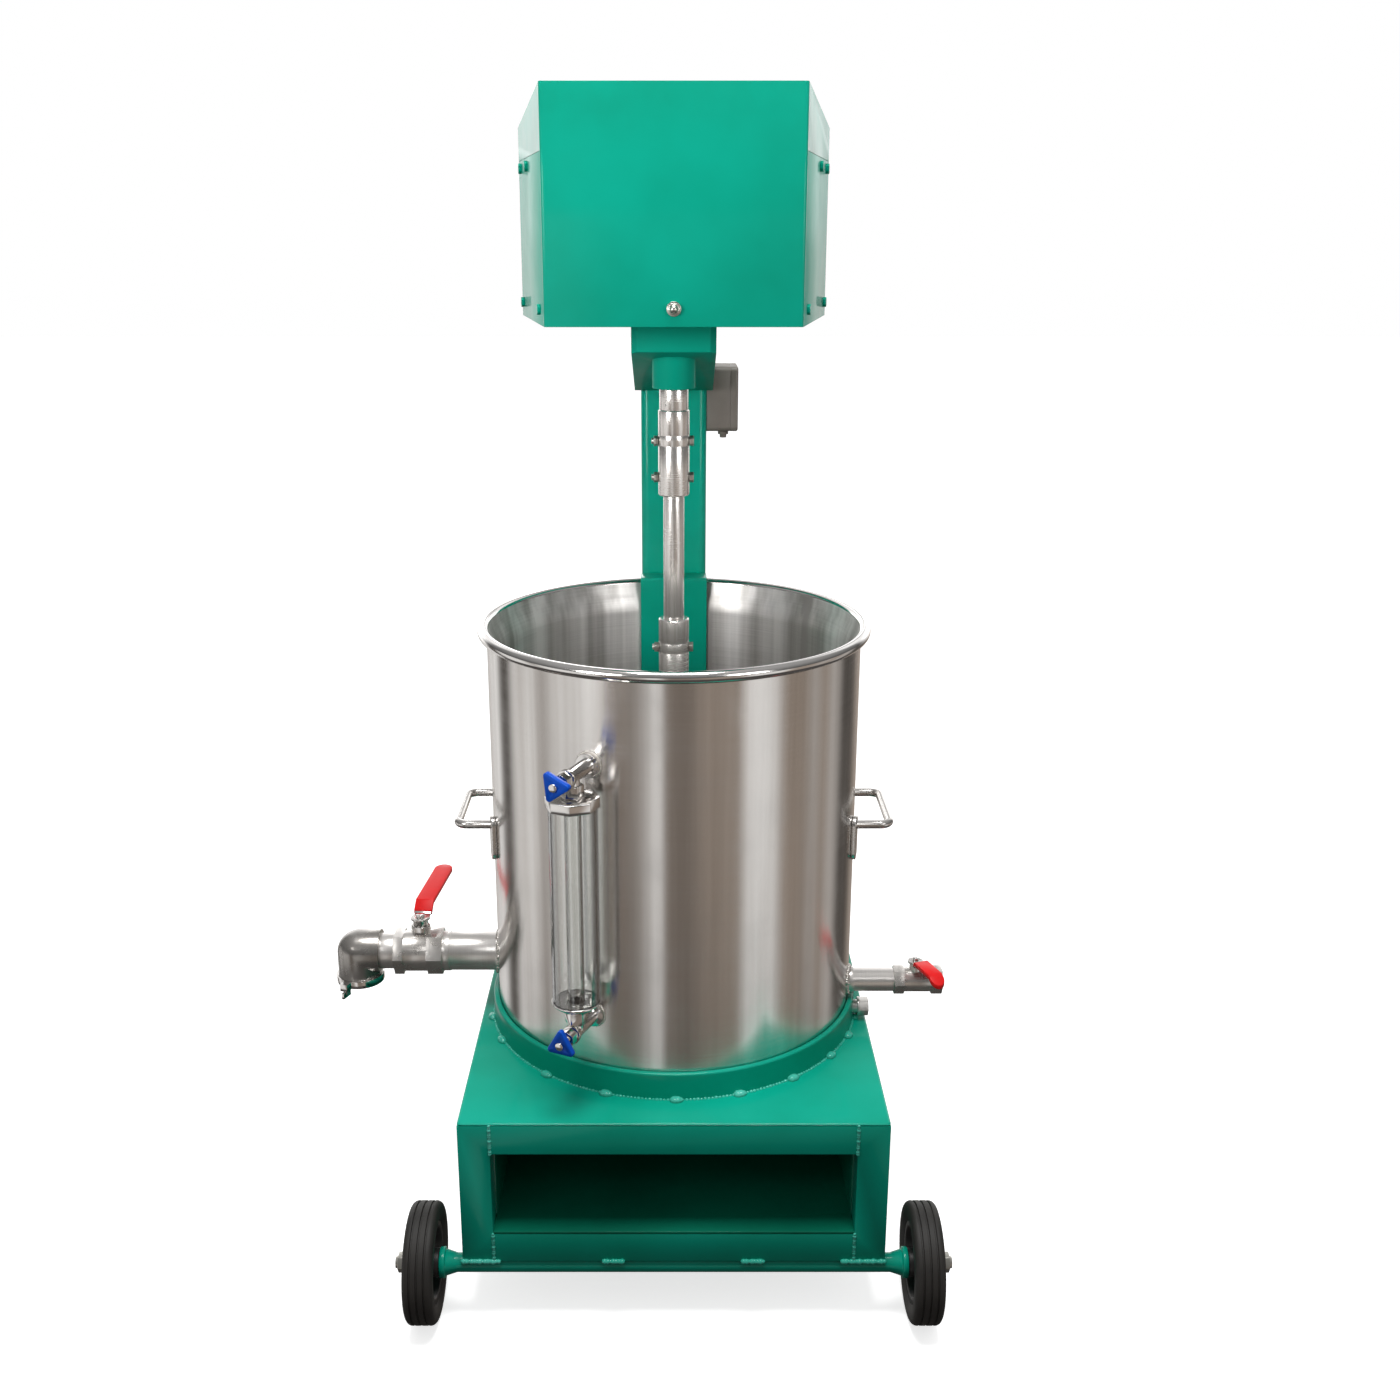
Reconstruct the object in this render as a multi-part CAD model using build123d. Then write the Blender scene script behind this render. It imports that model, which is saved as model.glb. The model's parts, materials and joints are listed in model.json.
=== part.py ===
from build123d import *
import math
import os

# Cooking kettle with an agitator on a wheeled base.
# Millimetres, +Z up. The origin is on the kettle's axis, at the underside of the base's middle rail.

# Kettle: radii
SHELL_R = 260.0
SHELL_SHEET = 2.0
JACKET = 9.5
POT_SHEET = 2.5
KNUCKLE_R = 30.0
RIM_BEAD_R = 8.1
RIM_OVERHANG = 4.7
COLLAR_WALL = 8.6

# Kettle: heights above the base plate
COLLAR_HEIGHT = 38.2
POT_RISE = 54.5
RIM_RISE = 588.7
LIP_DROP = 30.0
RIM_LAP = 7.1
SHELL_BOTTOM = 3.0

# Clearances
SHEET_GAP = 0.5
GAP = 0.3
SEAT_GAP = 0.1
HOLE_GAP = 0.05

# Base frame
BASE_HEIGHT = 211.5
BASE_SIDE = 15.4
BASE_APRON = 57.4
BASE_TAIL = 19.0
RAIL = 42.0
RAIL_WALL = 2.5
PLATE = 4.0
PLATE_CORNER_R = 5.0
TRAY_SHEET = 2.0

# Wheels and rear legs
WHEEL_R = 80.0
WHEEL_WIDTH = 40.0
WHEEL_RIM_R = 54.0
WHEEL_OFFSET = 33.0
HUB_R = 19.0
HUB_DISC = 5.0
HUB_STEP = 4.0
TYRE_GROOVE = 3.0
TYRE_SHOULDER = 7.0
AXLE_SETBACK = 14.0
AXLE_TUBE_R = 12.7
AXLE_R = 8.0
AXLE_CONE = 9.0
AXLE_FLANGE = 8.0
AXLE_FLANGE_R = 20.6
AXLE_TAIL = 20.0
WASHER_R = 15.0
WASHER = 3.0
AXLE_NUT = 13.0
AXLE_NUT_HEX = 24.0
LEG_R = 20.0
LEG_WALL = 3.0
LEG_INSET = 30.0
PAD_R = 27.0
PAD_HEIGHT = 22.0
PAD_SOLE = 8.0
PAD_LIP = 3.5

# Side handles
HANDLE_ROD_R = 6.0
HANDLE_RISE = 314.5
HANDLE_HALF_SPAN = 64.0
HANDLE_STAND = 45.0
HANDLE_STRAP = 52.0
HANDLE_STRAP_WIDTH = 25.0
HANDLE_STRAP_SHEET = 6.0
HANDLE_BEND_R = 14.0
HANDLE_ROOT = 2.0

# Product outlet, along -X
OUTLET_RISE = 86.5
OUTLET_PIPE_R = 28.5
OUTLET_PIPE_WALL = 3.0
OUTLET_ROOT = 6.0
OUTLET_WELD = 4.0
OUTLET_SLEEVE = 11.0
OUTLET_PIPE_LENGTH = 83.0
OUTLET_BODY = 72.0
OUTLET_STEM_PLACE = 33.0
OUTLET_BALL_R = 25.0
OUTLET_BORE_R = 16.0
OUTLET_BARREL_R = 30.0
OUTLET_HEX = 60.0
OUTLET_INLET_HEX = 23.0
OUTLET_FAR_HEX = 14.0
OUTLET_NIPPLE = 22.0
OUTLET_NIPPLE_R = 26.5
OUTLET_ELBOW = 33.0
OUTLET_ELBOW_R = 32.0
OUTLET_MOUTH_R = 26.0
OUTLET_DROP = 47.0
CLAMP_WIDTH = 11.0
CLAMP_SHEET = 3.0
CLAMP_TURN = 202.0
CLAMP_LUG = 12.0
CLAMP_SCREW_R = 4.0
CLAMP_WING = 18.0
CLAMP_WING_HEIGHT = 9.0
CLAMP_WING_SHEET = 4.0
OUTLET_STEM_R = 6.0
OUTLET_NECK_R = 12.0
OUTLET_NECK_TOP = 31.0
OUTLET_GLAND = 25.0
OUTLET_GLAND_TOP = 43.0
OUTLET_LEVER_Z = 52.0
OUTLET_STEM_TOP = 59.0
OUTLET_HUB_R = 14.0
OUTLET_LEVER_WIDTH = 24.0
OUTLET_LEVER_LINE = [(0, 0), (13, 0), (28, 14), (152, 17)]
OUTLET_LEVER_TOE = -6.0

# Jacket drain, along +X
DRAIN_Y = -45.0
DRAIN_RISE = 62.1
DRAIN_PIPE_R = 16.85
DRAIN_PIPE_WALL = 2.6
DRAIN_PIPE_LENGTH = 62.5
DRAIN_WELD = 3.0
DRAIN_BODY = 70.5
DRAIN_STEM_PLACE = 31.5
DRAIN_BALL_R = 13.5
DRAIN_BORE_R = 8.0
DRAIN_SOCKET_R = 10.5
DRAIN_SOCKET = 14.0
DRAIN_BARREL_R = 17.5
DRAIN_HEX = 36.0
DRAIN_INLET_HEX = 15.0
DRAIN_FAR_HEX = 16.0
DRAIN_STEM_R = 4.0
DRAIN_NECK_R = 8.5
DRAIN_NECK_TOP = 22.0
DRAIN_LEVER_Z = 28.0
DRAIN_STEM_TOP = 35.0
DRAIN_HUB_R = 11.0
DRAIN_LEVER_WIDTH = 18.0
DRAIN_LEVER_LINE = [(0, 0), (10, 0), (16, 4), (58, 4), (72, -6)]
DRAIN_LEVER_TOE = 20.0
LEVER_SHEET = 3.0
LEVER_HUB_STEP = 3.0
GRIP_SHEET = 1.8
STEM_SEAT = 2.0

# Plug in the bottom of the jacket
PLUG_RISE = 18.5
PLUG_R = 10.0
PLUG_BOSS = 4.0
PLUG_WASHER = 3.0
PLUG_HEX = 24.0
PLUG_HEAD = 16.0
PLUG_DEPTH = 12.0

# Sight gauge, on a spoke of the kettle
GAUGE_TURN = 24.5
GAUGE_STAND = 46.0
GAUGE_TOP_RISE = 465.5
GAUGE_LOW_RISE = 111.5
GAUGE_BODY_R = 10.0
GAUGE_BORE_R = 5.0
GAUGE_FLANGE_R = 16.0
GAUGE_FLANGE = 6.0
GAUGE_SHOULDER = 12.0
GAUGE_SHOULDER_R = 12.5
GAUGE_BODY_END = 17.0
GAUGE_BONNET = 13.0
GAUGE_BONNET_HEX = 19.0
GAUGE_NUT_R = 13.0
GAUGE_NUT = 16.0
GLASS_R = 11.0
GLASS_WALL = 2.0
GLASS_SOCKET = 9.0
GUARD_R = 31.4
GUARD_WALL = 3.0
GUARD_TOP_DROP = 41.5
GUARD_LOW_RISE = 44.0
GUARD_CAP = 14.0
GUARD_CAP_EDGE = 1.0
GUARD_DISH = 16.0
GUARD_DISH_RIM = 3.0
KNOB_STAND = 40.0
KNOB_R = 21.0
KNOB_THICK = 8.0
KNOB_CORNER_R = 4.0
KNOB_NECK = 5.0
KNOB_NECK_R = 8.0
SPINDLE_R = 4.0
SPINDLE_NUT = 2.5
SPINDLE_NUT_R = 5.5
UPPER_KNOB_TURN = 36.0
LOWER_KNOB_TURN = 0.0

# Column, saddle and drive head
COLUMN = 100.0
COLUMN_WALL = 5.0
COLUMN_CORNER_R = 12.0
COLUMN_STAND = 2.2
HEAD_WALL = 9.0
HEAD_REACH = 62.0
HEAD_FRONT_WIDTH = 110.0
HEAD_RISE = 415.8
HEAD_NOSE = 40.0
HEAD_HEEL = 121.0
HEAD_WIDEN = 4.0
HEAD_BEVEL = 8.0
HEAD_INNER_BEVEL = 1.0
SADDLE_WIDTH = 102.0
SADDLE_SHEET = 5.0
SADDLE_DROP = 160.2
BEARING_TUBE_R = 28.5
BEARING_TUBE_WALL = 4.0
BEARING_TUBE_DROP = 91.0
BEARING_WIDTH = 15.0
BEARING_SHELF = 3.0

# Hood over the drive
HOOD_FRONT_HALF = 159.0
HOOD_REAR_HALF = 212.0
HOOD_HALF_DEPTH = 143.0
HOOD_LAP = 4.0
HOOD_HEADROOM = 8.0
HOOD_ROOF_FALL = 34.0
HOOD_SHEET = 1.5
HOOD_FOLD_R = 4.0
HOOD_FLOOR = 3.0
HOOD_FLANGE = 32.0
HOOD_LIP = 2.0
LIP_INSET = 4.0
LIP_LOW = 22.0
LIP_HIGH = 14.0
COVER_HEIGHT = 204.0
COVER_MARGIN = 6.0
SCREW_HEAD_R = 5.8
SCREW_HEAD = 4.0
SCREW_LOW = 19.0
SCREW_HIGH = 11.0
LOW_SCREWS = (45.0, 24.0)
HIGH_SCREWS = (120.0, 36.0)
CAP_NUT_RISE = 21.6
CAP_NUT_R = 9.0
CAP_NUT_WASHER = 2.0
CAP_NUT_HEX = 5.0

# Gear motor inside the hood
GEARBOX_HEIGHT = 72.0
GEARBOX_HALF_WIDTH = 58.0
GEARBOX_FRONT = -60.0
GEARBOX_REAR = 128.0
GEARBOX_CORNER_R = 20.0
MOTOR_Y = 70.0
MOTOR_R = 60.0
MOTOR_HEIGHT = 160.0
MOTOR_FAN_COVER = 40.0
MOTOR_COVER_STEP = 3.0
MOTOR_BOX = 28.0
MOTOR_BOX_WIDTH = 70.0
MOTOR_BOX_LOW = 30.0
MOTOR_BOX_HIGH = 110.0

# Drive line
DRIVE_SHAFT_R = 15.0
STUB_R = 19.3
STUB_SLOT = 4.0
SHAFT_R = 14.2
COUPLING_R = 21.0
COUPLING_LENGTH = 115.0
COUPLING_DROP = 119.0
LOW_COUPLING_RISE = 9.8
COUPLING_BAND = 33.0
COUPLING_BAND_WIDTH = 14.0
COUPLING_GROOVE = 0.8
COUPLING_CHAMFER = 1.5
UPPER_BOLT_DROP = 42.0
LOWER_BOLT_DROP = 91.0
BOLT_R = 4.0
BOLT_HEX = 12.1
BOLT_HEAD = 6.0
BOLT_TAIL = 3.0
SHAFT_ENGAGE = 57.0
SHAFT_END_GAP = 1.0

# Agitator
ANCHOR_BAR = 30.0
ANCHOR_SHEET = 8.0
ANCHOR_SIDE = 34.0
ANCHOR_RISE = 14.0
ANCHOR_DROP = 200.2
ANCHOR_TIE = 204.0
ANCHOR_BEND_R = 40.0
ANCHOR_HUB = 7.0
ANCHOR_HUB_LAP = 10.0
SCRAPER_GAP = 0.6
SCRAPER_SHEET = 8.0
SCRAPER_LAP = 18.0
SCRAPER_EDGE = 5.0
SCRAPER_END = 6.0
SCRAPER_CORNER = 14.0

# Junction box on the column
BOX_DROP = 184.0
BOX_HEIGHT = 97.0
BOX_SETBACK = 9.0
BOX_DEPTH = 80.0
BOX_BODY = 36.0
BOX_LID = 12.0
BOX_CORNER_R = 7.0
BOX_WALL = 3.0
GLAND_R = 7.0
GLAND_NUT = 6.0
GLAND_TAIL = 5.0
GLAND_OUT = 26.0
GLAND_BACK = 20.0

# Worked out from the sizes above
POT_R = SHELL_R - SHELL_SHEET - JACKET - POT_SHEET
RIM_R = SHELL_R + RIM_OVERHANG
COLLAR_R = SHELL_R + COLLAR_WALL
COLLAR_TOP = BASE_HEIGHT + COLLAR_HEIGHT
POT_FLOOR = BASE_HEIGHT + POT_RISE
RIM_Z = BASE_HEIGHT + RIM_RISE
SHELL_TOP = RIM_Z - RIM_LAP
COLUMN_FRONT = RIM_R + RIM_BEAD_R + COLUMN_STAND
BASE_HALF_WIDTH = COLLAR_R + BASE_SIDE
BASE_FRONT = -COLLAR_R - BASE_APRON
BASE_REAR = COLUMN_FRONT + COLUMN + BASE_TAIL
WHEEL_INNER_X = BASE_HALF_WIDTH + WHEEL_OFFSET
WHEEL_OUTER_X = WHEEL_INNER_X + WHEEL_WIDTH
AXLE_Y = BASE_FRONT + AXLE_SETBACK
AXLE_Z = -AXLE_TUBE_R
FLOOR_Z = AXLE_Z - WHEEL_R
LEG_END_Z = FLOOR_Z + PAD_SOLE
LEG_X = BASE_HALF_WIDTH - LEG_INSET
LEG_Y = BASE_REAR - LEG_INSET
HANDLE_Z = BASE_HEIGHT + HANDLE_RISE
HANDLE_REACH = SHELL_R + HANDLE_STAND
OUTLET_Z = BASE_HEIGHT + OUTLET_RISE
OUTLET_INLET_END = SHELL_R + OUTLET_PIPE_LENGTH
OUTLET_STEM_X = OUTLET_INLET_END + OUTLET_STEM_PLACE
OUTLET_FAR_END = OUTLET_INLET_END + OUTLET_BODY
OUTLET_NIPPLE_END = OUTLET_FAR_END + OUTLET_NIPPLE
OUTLET_MOUTH_X = OUTLET_NIPPLE_END + OUTLET_ELBOW
DRAIN_Z = BASE_HEIGHT + DRAIN_RISE
DRAIN_INLET_END = SHELL_R + DRAIN_PIPE_LENGTH
DRAIN_STEM_X = DRAIN_INLET_END + DRAIN_STEM_PLACE
DRAIN_FAR_END = DRAIN_INLET_END + DRAIN_BODY
PLUG_Z = BASE_HEIGHT + PLUG_RISE
GAUGE_R = SHELL_R + GAUGE_STAND
GAUGE_TOP_Z = BASE_HEIGHT + GAUGE_TOP_RISE
GAUGE_LOW_Z = BASE_HEIGHT + GAUGE_LOW_RISE
GUARD_TOP_Z = GAUGE_TOP_Z - GUARD_TOP_DROP
GUARD_LOW_Z = GAUGE_LOW_Z + GUARD_LOW_RISE
KNOB_REACH = GAUGE_R + KNOB_STAND
HEAD_FRONT = -HEAD_REACH
HEAD_TOP = RIM_Z + HEAD_RISE
HEAD_NOSE_Z = HEAD_TOP - HEAD_NOSE
HEAD_HEEL_Z = HEAD_TOP - HEAD_HEEL
SADDLE_LOW_Z = RIM_Z - SADDLE_DROP
BEARING_TUBE_LOW_Z = HEAD_TOP - BEARING_TUBE_DROP
HOOD_LOW_Z = HEAD_TOP - HOOD_LAP
MOTOR_TOP = HEAD_TOP + HOOD_FLOOR + GEARBOX_HEIGHT + MOTOR_HEIGHT
HOOD_REAR_TOP = MOTOR_TOP + HOOD_HEADROOM
HOOD_FRONT_TOP = HOOD_REAR_TOP + HOOD_ROOF_FALL
HOOD_SLOPE = (HOOD_REAR_HALF - HOOD_FRONT_HALF) / (2 * HOOD_HALF_DEPTH)
HOOD_FLARE = math.degrees(math.atan(HOOD_SLOPE))
COVER_TOP_Z = HOOD_LOW_Z + COVER_HEIGHT
COUPLING_TOP_Z = HEAD_TOP - COUPLING_DROP
LOW_COUPLING_TOP_Z = RIM_Z + LOW_COUPLING_RISE
ANCHOR_R = POT_R - ANCHOR_SIDE
ANCHOR_LOW_Z = POT_FLOOR + ANCHOR_RISE
ANCHOR_TOP_Z = RIM_Z - ANCHOR_DROP
ANCHOR_TIE_Z = POT_FLOOR + ANCHOR_TIE
BOX_LOW_Z = HEAD_TOP - BOX_DROP
BOX_HIGH_Z = BOX_LOW_Z + BOX_HEIGHT
BOX_FRONT = COLUMN_FRONT + BOX_SETBACK

CUT = 1.0
FAR = 4 * SHELL_R
MIN_ALIGN = (Align.CENTER, Align.CENTER, Align.MIN)
parts = {}


def block(x0, x1, y0, y1, z0, z1):
    """A box between two corners."""
    return Pos((x0 + x1) / 2, (y0 + y1) / 2, (z0 + z1) / 2) * Box(x1 - x0, y1 - y0, z1 - z0)


def rod(radius, z0, z1, x=0.0, y=0.0):
    """A round bar along Z from z0 to z1."""
    return Pos(x, y, z0) * Cylinder(radius, z1 - z0, align=MIN_ALIGN)


def tube(outer, inner, z0, z1, x=0.0, y=0.0):
    """A round tube along Z from z0 to z1."""
    return rod(outer, z0, z1, x, y) - rod(inner, z0 - CUT, z1 + CUT, x, y)


def wall_hole(radius):
    """A cutter along local Z that goes through the kettle's wall on one side only."""
    return rod(radius, SHELL_R / 2, 2 * SHELL_R)


def upright_cut(radius, y=0.0):
    """A cutter the size of the kettle, upright where local Z points outward and local X up."""
    return Pos(0, y, 0) * Rot(0, 90, 0) * rod(radius, -FAR, FAR)


def hexagon(across_flats, z0, z1, turn=0.0):
    """A six-sided bar along Z from z0 to z1."""
    face = Rot(0, 0, turn) * RegularPolygon(across_flats / 2, 6, major_radius=False)
    return Pos(0, 0, z0) * extrude(face, z1 - z0)


def cone(low_r, high_r, z0, z1):
    """A cone along Z from z0 to z1."""
    return Pos(0, 0, z0) * Cone(low_r, high_r, z1 - z0, align=MIN_ALIGN)


def both_sides(shape):
    """The shape and its mirror image across the YZ plane."""
    return [shape, mirror(shape, about=Plane.YZ)]


def group(shapes):
    """Separate solids that share one node."""
    return Compound(children=list(shapes))


def along_x(sign, x=0.0, y=0.0, z=0.0):
    """A place whose local Z points outward along X and whose local X points up."""
    return Plane(origin=(x, y, z), x_dir=(0, 0, 1), z_dir=(sign, 0, 0)).location


def square_tube(size, wall, length, corner_r):
    """A square tube with rounded corners along Z, standing on z = 0."""
    outer = RectangleRounded(size, size, corner_r)
    inner = RectangleRounded(size - 2 * wall, size - 2 * wall, corner_r - wall)
    return extrude(outer - inner, length)


def rail_section():
    """The section of the base's square tube."""
    inner = RAIL - 2 * RAIL_WALL
    return Rectangle(RAIL, RAIL) - Rectangle(inner, inner)


def base_frame():
    """Posts, rails and two rear legs, welded into one frame."""
    top = BASE_HEIGHT - PLATE
    post_x = BASE_HALF_WIDTH - RAIL / 2
    inner_x = BASE_HALF_WIDTH - RAIL
    front_y = BASE_FRONT + RAIL / 2
    rear_y = BASE_REAR - RAIL / 2
    post = extrude(rail_section(), top)
    across = Rot(0, 90, 0) * extrude(rail_section(), 2 * inner_x)
    deep = Rot(-90, 0, 0) * extrude(rail_section(), BASE_REAR - BASE_FRONT - 2 * RAIL)
    frame = [Pos(x, y, 0) * post for x in (-post_x, post_x) for y in (front_y, rear_y)]
    for z in (RAIL / 2, top - RAIL / 2):
        frame += [Pos(-inner_x, y, z) * across for y in (front_y, rear_y)]
        frame += [Pos(x, BASE_FRONT + RAIL, z) * deep for x in (-post_x, post_x)]
    frame += both_sides(tube(LEG_R, LEG_R - LEG_WALL, LEG_END_Z, 0, LEG_X, LEG_Y))
    whole = frame[0]
    for piece in frame[1:]:
        whole = whole + piece
    return whole


def base_top_plate():
    """The plate the kettle stands on."""
    top = block(-BASE_HALF_WIDTH, BASE_HALF_WIDTH, BASE_FRONT, BASE_REAR, BASE_HEIGHT - PLATE, BASE_HEIGHT)
    return fillet(top.edges().filter_by(Axis.Z), PLATE_CORNER_R)


def bay_tray():
    """The folded tray that lines the open bay, with the rail under the kettle welded to its floor."""
    side_x = BASE_HALF_WIDTH - RAIL
    rear_y = BASE_REAR - RAIL
    front_y = BASE_FRONT + RAIL
    floor_top = RAIL + PLATE
    under_top = BASE_HEIGHT - PLATE
    tray = block(-side_x, side_x, front_y, rear_y, RAIL, under_top)
    wall_x = side_x - TRAY_SHEET
    tray -= block(-wall_x, wall_x, front_y - CUT, rear_y - TRAY_SHEET, floor_top, under_top + CUT)
    tray += block(-side_x, side_x, BASE_FRONT, rear_y, RAIL, floor_top)
    return tray + Pos(-side_x, 0, RAIL / 2) * Rot(0, 90, 0) * extrude(rail_section(), 2 * side_x)


def collar_ring():
    """The ring that the kettle stands in, with a hole for the plug's boss."""
    ring = tube(COLLAR_R, SHELL_R + GAP, BASE_HEIGHT, COLLAR_TOP)
    return ring - along_x(1, 0, DRAIN_Y, PLUG_Z) * wall_hole(PLUG_R + PLUG_BOSS + GAP)


def foot_pads():
    """Rubber feet on the rear legs."""
    pad_top = FLOOR_Z + PAD_HEIGHT
    pad = Pos(LEG_X, LEG_Y, 0) * cone(PAD_R, LEG_R + PAD_LIP, FLOOR_Z, pad_top)
    pad -= rod(LEG_R + SEAT_GAP, LEG_END_Z, pad_top + CUT, LEG_X, LEG_Y)
    return group(both_sides(pad))


def axle_parts():
    """The tube under the front rail with its flared ends, the axle in it, washers and nuts."""
    place = along_x(1, 0, AXLE_Y, AXLE_Z)
    cone_x = BASE_HALF_WIDTH + AXLE_CONE
    flange_x = WHEEL_INNER_X - AXLE_FLANGE
    half = rod(AXLE_TUBE_R, 0, cone_x) + cone(AXLE_TUBE_R, AXLE_FLANGE_R - WASHER, cone_x, flange_x)
    half += rod(AXLE_FLANGE_R, flange_x, WHEEL_INNER_X - GAP)
    whole = place * half
    whole = whole + mirror(whole, about=Plane.YZ)
    axle_hole = rod(AXLE_R + HOLE_GAP, -2 * WHEEL_OUTER_X, 2 * WHEEL_OUTER_X)
    axle_end = WHEEL_OUTER_X + AXLE_TAIL
    axle = place * rod(AXLE_R, -axle_end, axle_end)
    washer_x = WHEEL_OUTER_X + GAP
    nut_x = washer_x + WASHER
    washer = place * (rod(WASHER_R, washer_x, nut_x) - axle_hole)
    nut = place * (hexagon(AXLE_NUT_HEX, nut_x, nut_x + AXLE_NUT, 30) - axle_hole)
    return whole - place * axle_hole, axle, group(both_sides(washer) + both_sides(nut))


def revolved(outline):
    """A closed outline of (radius, height) points turned round Z."""
    return revolve(make_face(Plane.XZ * Polyline(*outline, close=True)), axis=Axis.Z)


def wheel_parts():
    """The right front wheel: a hub with a dished disc, and a solid tyre with a centre groove."""
    half = WHEEL_WIDTH / 2
    edge = half - HUB_STEP
    bore = AXLE_R + HOLE_GAP
    rim_r = WHEEL_RIM_R
    web_r = rim_r - 2 * HUB_STEP
    hub_side = [(bore, -half), (HUB_R, -half), (HUB_R, -HUB_DISC), (web_r - HUB_STEP, -HUB_DISC),
                (web_r, -edge), (rim_r, -edge)]
    hub = revolved(hub_side + [(r, -z) for r, z in reversed(hub_side)])
    step_r = rim_r + 2 * HUB_STEP
    tread_r = WHEEL_R - TYRE_GROOVE
    tyre_side = [(rim_r, -edge), (step_r, -half), (WHEEL_R - TYRE_SHOULDER, -half),
                 (WHEEL_R, -half + TYRE_SHOULDER), (WHEEL_R, -TYRE_GROOVE)]
    tyre = revolved(tyre_side + [(tread_r, 0)] + [(r, -z) for r, z in reversed(tyre_side)])
    place = along_x(1, WHEEL_INNER_X + half, AXLE_Y, AXLE_Z)
    return place * hub, place * tyre


def kettle_shell():
    """The outer wall and bottom of the jacket, with holes for the outlet, drain, plug and gauge."""
    shell = rod(SHELL_R, BASE_HEIGHT, SHELL_TOP)
    shell -= rod(SHELL_R - SHELL_SHEET, BASE_HEIGHT + SHELL_BOTTOM, SHELL_TOP + CUT)
    shell -= along_x(-1, 0, 0, OUTLET_Z) * wall_hole(OUTLET_PIPE_R + HOLE_GAP)
    shell -= along_x(1, 0, DRAIN_Y, DRAIN_Z) * wall_hole(DRAIN_PIPE_R + HOLE_GAP)
    shell -= along_x(1, 0, DRAIN_Y, PLUG_Z) * wall_hole(PLUG_R + HOLE_GAP)
    for z in (GAUGE_TOP_Z, GAUGE_LOW_Z):
        shell -= gauge_place(z) * wall_hole(GAUGE_BORE_R)
    return shell


def inner_pot():
    """The cooking pot: a straight wall, a rounded bottom corner and a rolled edge over the shell."""
    low = POT_FLOOR
    wall_top = RIM_Z - RIM_BEAD_R - LIP_DROP
    outer_r = POT_R + POT_SHEET
    turn_r = POT_R - KNUCKLE_R
    turn_z = low + KNUCKLE_R
    lip_r = SHELL_R - SHELL_SHEET - SHEET_GAP
    flare = (lip_r - POT_SHEET, SHELL_TOP - SHELL_SHEET)
    over = (RIM_R - RIM_BEAD_R + POT_SHEET, RIM_Z - POT_SHEET / 2)
    under = (over[0] + SHELL_SHEET, over[1] - POT_SHEET)
    back = (lip_r, SHELL_TOP + SHEET_GAP)
    with BuildPart() as pot:
        with BuildSketch(Plane.XZ):
            with BuildLine():
                Line((0, low), (turn_r, low))
                TangentArc((turn_r, low), (POT_R, turn_z), tangent=(1, 0))
                Line((POT_R, turn_z), (POT_R, wall_top))
                TangentArc((POT_R, wall_top), flare, tangent=(0, 1))
                Polyline(flare, over, under, back, (lip_r, flare[1]), (outer_r, wall_top), (outer_r, turn_z))
                TangentArc((outer_r, turn_z), (turn_r, low - POT_SHEET), tangent=(0, -1))
                Polyline((turn_r, low - POT_SHEET), (0, low - POT_SHEET), (0, low))
            make_face()
        revolve(axis=Axis.Z)
    bead = Pos(0, 0, RIM_Z) * Torus(RIM_R, RIM_BEAD_R)
    bead -= rod(SHELL_R + HOLE_GAP, RIM_Z - 2 * RIM_BEAD_R, SHELL_TOP + HOLE_GAP)
    return pot.part + bead - along_x(-1, 0, 0, OUTLET_Z) * wall_hole(OUTLET_PIPE_R + HOLE_GAP)


def handle():
    """The right side handle: a round rod bent into a bail, on two flat straps welded to the shell."""
    turn = math.degrees(math.asin(HANDLE_HALF_SPAN / SHELL_R))
    seat = SHELL_R + HOLE_GAP
    outer = seat + HANDLE_STRAP_SHEET
    half = HANDLE_STRAP_WIDTH / 2
    low_z = HANDLE_Z - HANDLE_STRAP + half
    strap = block(seat, outer, -half, half, low_z, HANDLE_Z)
    for z in (low_z, HANDLE_Z):
        strap += Pos(0, 0, z) * Rot(0, 90, 0) * rod(half, seat, outer)
    root_x = (seat + HANDLE_ROOT) * math.cos(math.radians(turn)) + HANDLE_ROOT
    y = HANDLE_HALF_SPAN
    points = [(root_x, -y, HANDLE_Z), (HANDLE_REACH, -y, HANDLE_Z), (HANDLE_REACH, y, HANDLE_Z),
              (root_x, y, HANDLE_Z)]
    path = FilletPolyline(*points, radius=HANDLE_BEND_R)
    bail = sweep(Plane(origin=points[0], z_dir=(1, 0, 0)) * Circle(HANDLE_ROD_R), path=path)
    return bail + Rot(0, 0, turn) * strap + Rot(0, 0, -turn) * strap


def ball_valve_body(barrel_r, across, start, first_hex, last_hex, end, stem_z, ball_r, bore_r, neck_r,
                    neck_top, stem_r):
    """A valve body along local Z with hexagon ends, a ball chamber and a neck for the stem on local X."""
    body = rod(barrel_r, start + first_hex - CUT, end - last_hex + CUT)
    body += hexagon(across, start, start + first_hex, 30) + hexagon(across, end - last_hex, end, 30)
    neck = Plane(origin=(0, 0, stem_z), z_dir=(1, 0, 0)).location
    body += neck * rod(neck_r, 0, neck_top)
    body -= rod(bore_r, start - CUT, end + CUT)
    body -= Pos(0, 0, stem_z) * Sphere(ball_r + GAP)
    return body - neck * rod(stem_r + HOLE_GAP, 0, neck_top + CUT)


def ball(ball_r, bore_r, stem_z, toe):
    """The valve's ball, with a flat on top that the stem turns it by."""
    whole = Sphere(ball_r) - Rot(90, 0, 0) * Cylinder(bore_r, 3 * ball_r)
    whole -= block(ball_r - STEM_SEAT, ball_r + CUT, -ball_r, ball_r, -ball_r, ball_r)
    return Pos(0, 0, stem_z) * Rot(toe, 0, 0) * whole


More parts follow.
